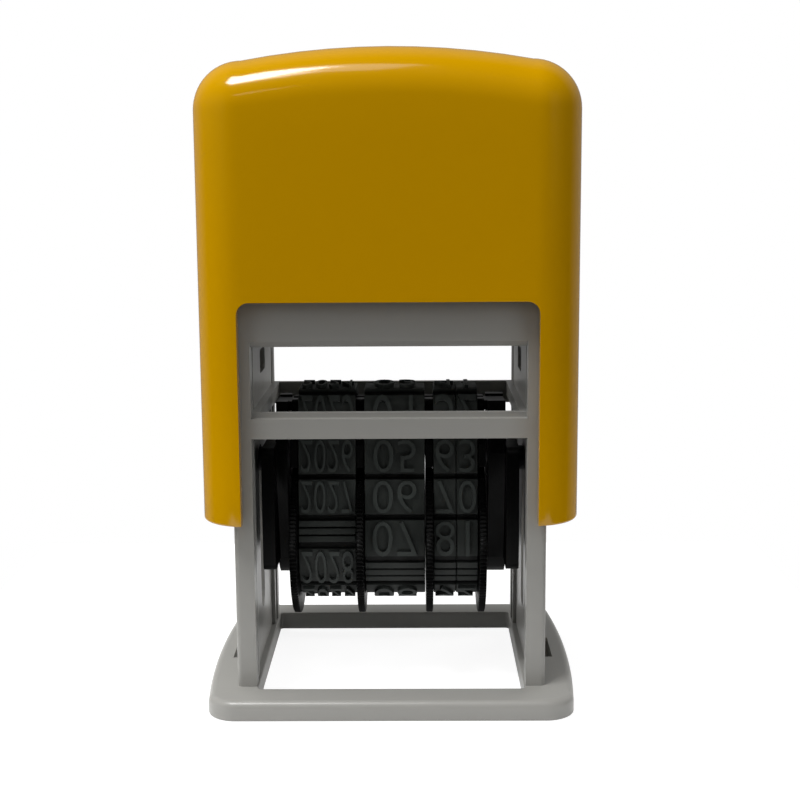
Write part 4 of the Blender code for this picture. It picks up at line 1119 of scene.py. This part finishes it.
class STAMP_OT_hardware(bpy.types.Operator):
    """Make the pivot pins, the axle and the return spring"""

    bl_idname = "stamp.hardware"
    bl_label = "Pins, axle and spring"

    def execute(self, context):
        colours = context.scene.stamp.colours
        material = blackened_steel(colours)
        for node, side in (("left_pivot_pin", -1), ("right_pivot_pin", 1)):
            low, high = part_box(node)
            mesh = revolved_mesh(node + "_turned", pin_profile(low.x, high.x, side), PIVOT_Z, PIN_COLUMNS)
            add_piece(node + "_turned", mesh, "carrier", material, node)
        low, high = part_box("wheel_axle")
        mesh = revolved_mesh("wheel_axle_turned", axle_profile(low.x, high.x), AXLE_Z, PIN_COLUMNS)
        add_piece("wheel_axle_turned", mesh, "carrier", material, "wheel_axle")
        low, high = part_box("return_spring")
        mesh = ring_mesh("return_spring_wire", spring_rings(low.z, high.z))
        material = spring_steel(colours)
        spring = add_piece("return_spring_wire", mesh, "cap", material, "return_spring")
        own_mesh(spring)
        return {"FINISHED"}


# Stage


def seen_directly(tree, path):
    """Factor that is 1 for camera and transmission rays."""
    links = [(0, path, "Is Camera Ray"), (1, path, "Is Transmission Ray")]
    return add_node(tree, "ShaderNodeMath", links, operation="MAXIMUM")


def paper_floor():
    """Pale paper: white to the camera, paler grey in reflections, with the object's soft shadow kept."""
    material, tree, shader = new_material("matt_white_paper")
    shader.inputs["Base Color"].default_value = srgb(FLOOR_COLOUR)
    shader.inputs["Roughness"].default_value = 0.9
    shadowed = add_node(tree, "ShaderNodeBsdfDiffuse", inputs=[("Color", srgb(FLOOR_SHADOWED_COLOUR))])
    glow = add_node(tree, "ShaderNodeEmission", inputs=[("Color", srgb(WHITE)), ("Strength", FLOOR_GLOW)])
    both = add_node(tree, "ShaderNodeAddShader", [(0, shadowed, "BSDF"), (1, glow, "Emission")])
    path = add_node(tree, "ShaderNodeLightPath")
    links = [(0, path, "Is Glossy Ray"), (2, seen_directly(tree, path), "Value")]
    seen = add_node(tree, "ShaderNodeMath", links, [(1, MIRRORED_SHARE)], operation="MULTIPLY_ADD")
    links = [(0, seen, "Value"), (1, shader, "BSDF"), (2, both, "Shader")]
    mixed = add_node(tree, "ShaderNodeMixShader", links)
    tree.links.new(mixed.outputs["Shader"], tree.nodes["Material Output"].inputs["Surface"])
    return material


def studio_world(scene):
    """Surround that is white to the camera and pale in reflections from behind.

    To matt surfaces it is a dim room. Reflections from the front see a dark room, so the gloss
    there comes from the lamps alone.
    """
    world = bpy.data.worlds.new("studio")
    scene.world = world
    world.use_nodes = True
    world.cycles.sampling_method = "NONE"
    tree = world.node_tree
    tree.nodes.clear()
    path = add_node(tree, "ShaderNodeLightPath")
    place = add_node(tree, "ShaderNodeTexCoord")
    parts = add_node(tree, "ShaderNodeSeparateXYZ", [("Vector", place, "Generated")])
    first, last = BEHIND_SHARES
    inputs = [("From Min", first), ("From Max", last), ("To Min", 0.0), ("To Max", MIRRORED_SHARE)]
    behind = add_node(tree, "ShaderNodeMapRange", [("Value", parts, "Y")], inputs)
    links = [(0, path, "Is Glossy Ray"), (1, behind, "Result")]
    mirrored = add_node(tree, "ShaderNodeMath", links, operation="MULTIPLY")
    links = [(0, mirrored, "Value"), (1, seen_directly(tree, path), "Value")]
    seen = add_node(tree, "ShaderNodeMath", links, operation="MAXIMUM")
    links = [(0, path, "Is Diffuse Ray"), (2, seen, "Value")]
    strength = add_node(tree, "ShaderNodeMath", links, [(1, ROOM_LIGHT)], operation="MULTIPLY_ADD")
    links = [("Strength", strength, "Value")]
    white = add_node(tree, "ShaderNodeBackground", links, [("Color", srgb(WHITE))])
    add_node(tree, "ShaderNodeOutputWorld", [("Surface", white, "Background")])


def add_lamp(target, name, azimuth, elevation, width, height, radiance, mirrored):
    """Rectangular softbox aimed at a point; its power is pi times its radiance and its area."""
    turn, rise = math.radians(azimuth), math.radians(elevation)
    level = LAMP_DISTANCE * math.cos(rise)
    x, y, z = target
    place = (x + level * math.sin(turn), y - level * math.cos(turn), z + LAMP_DISTANCE * math.sin(rise))
    light = bpy.data.lights.new(name, "AREA")
    light.shape = "RECTANGLE"
    light.size = width
    light.size_y = height
    light.energy = radiance * math.pi * width * height
    item = linked_object(name, light)
    item.location = place
    item.rotation_euler = (Vector(target) - Vector(place)).to_track_quat("-Z", "Y").to_euler()
    item.visible_glossy = mirrored


def add_camera(scene):
    """Camera at the photo's viewpoint: yaw about Z, then pitch about X, then roll about the view axis."""
    camera = bpy.data.cameras.new("photo_view")
    camera.lens = VIEW_LENS
    camera.clip_start = NEAREST_SEEN
    item = linked_object("photo_view", camera)
    turns = ((VIEW_YAW, "Z"), (VIEW_PITCH, "X"), (VIEW_ROLL, "Y"), (math.pi / 2, "X"))
    yaw, pitch, roll, upright = (Matrix.Rotation(angle, 4, axis) for angle, axis in turns)
    item.matrix_world = Matrix.Translation(VIEW_PLACE) @ (yaw @ pitch @ roll) @ upright
    scene.camera = item


class STAMP_OT_stage(bpy.types.Operator):
    """Make the floor, the surround, the lamps and the camera"""

    bl_idname = "stamp.stage"
    bl_label = "Stage"

    def execute(self, context):
        scene = context.scene
        mesh = bpy.data.meshes.new("floor")
        half = FLOOR_HALF_SIZE
        plan = ((-half, -half), (half, -half), (half, half), (-half, half))
        mesh.from_pydata([(x, y, -FLOOR_DROP) for x, y in plan], [], [(0, 1, 2, 3)])
        mesh.materials.append(paper_floor())
        linked_object("floor", mesh)
        studio_world(scene)
        middle = (0.0, 0.0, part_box("cap_shell")[1].z / 2)
        for lamp in LAMPS:
            add_lamp(middle, *lamp)
        add_camera(scene)
        scene.view_settings.view_transform = "Standard"
        return {"FINISHED"}


# Add-on


class STAMP_PT_panel(bpy.types.Panel):
    """List the stamp's pieces and settings in the sidebar"""

    bl_idname = "STAMP_PT_panel"
    bl_label = "Date stamp"
    bl_space_type = "VIEW_3D"
    bl_region_type = "UI"
    bl_category = "Date stamp"

    def draw(self, context):
        column = self.layout.column()
        for operator in OPERATORS:
            column.operator(operator.bl_idname)
        for group in (context.scene.stamp.sizes, context.scene.stamp.colours):
            for name in group.__annotations__:
                column.prop(group, name)


OPERATORS = (
    STAMP_OT_cap,
    STAMP_OT_frame,
    STAMP_OT_base,
    STAMP_OT_yoke,
    STAMP_OT_carrier,
    STAMP_OT_wheels,
    STAMP_OT_bands,
    STAMP_OT_hardware,
    STAMP_OT_stage,
)
CLASSES = (StampSizes, StampColours, StampSettings, *OPERATORS, STAMP_PT_panel)


def register():
    """Register the classes and the scene's settings."""
    for item in CLASSES:
        bpy.utils.register_class(item)
    bpy.types.Scene.stamp = PointerProperty(type=StampSettings)


def unregister():
    """Remove the settings and the classes."""
    del bpy.types.Scene.stamp
    for item in reversed(CLASSES):
        bpy.utils.unregister_class(item)


def main():
    """Make every piece and the stage."""
    register()
    for operator in OPERATORS:
        group, name = operator.bl_idname.split(".")
        getattr(getattr(bpy.ops, group), name)()


if __name__ == "__main__":
    main()
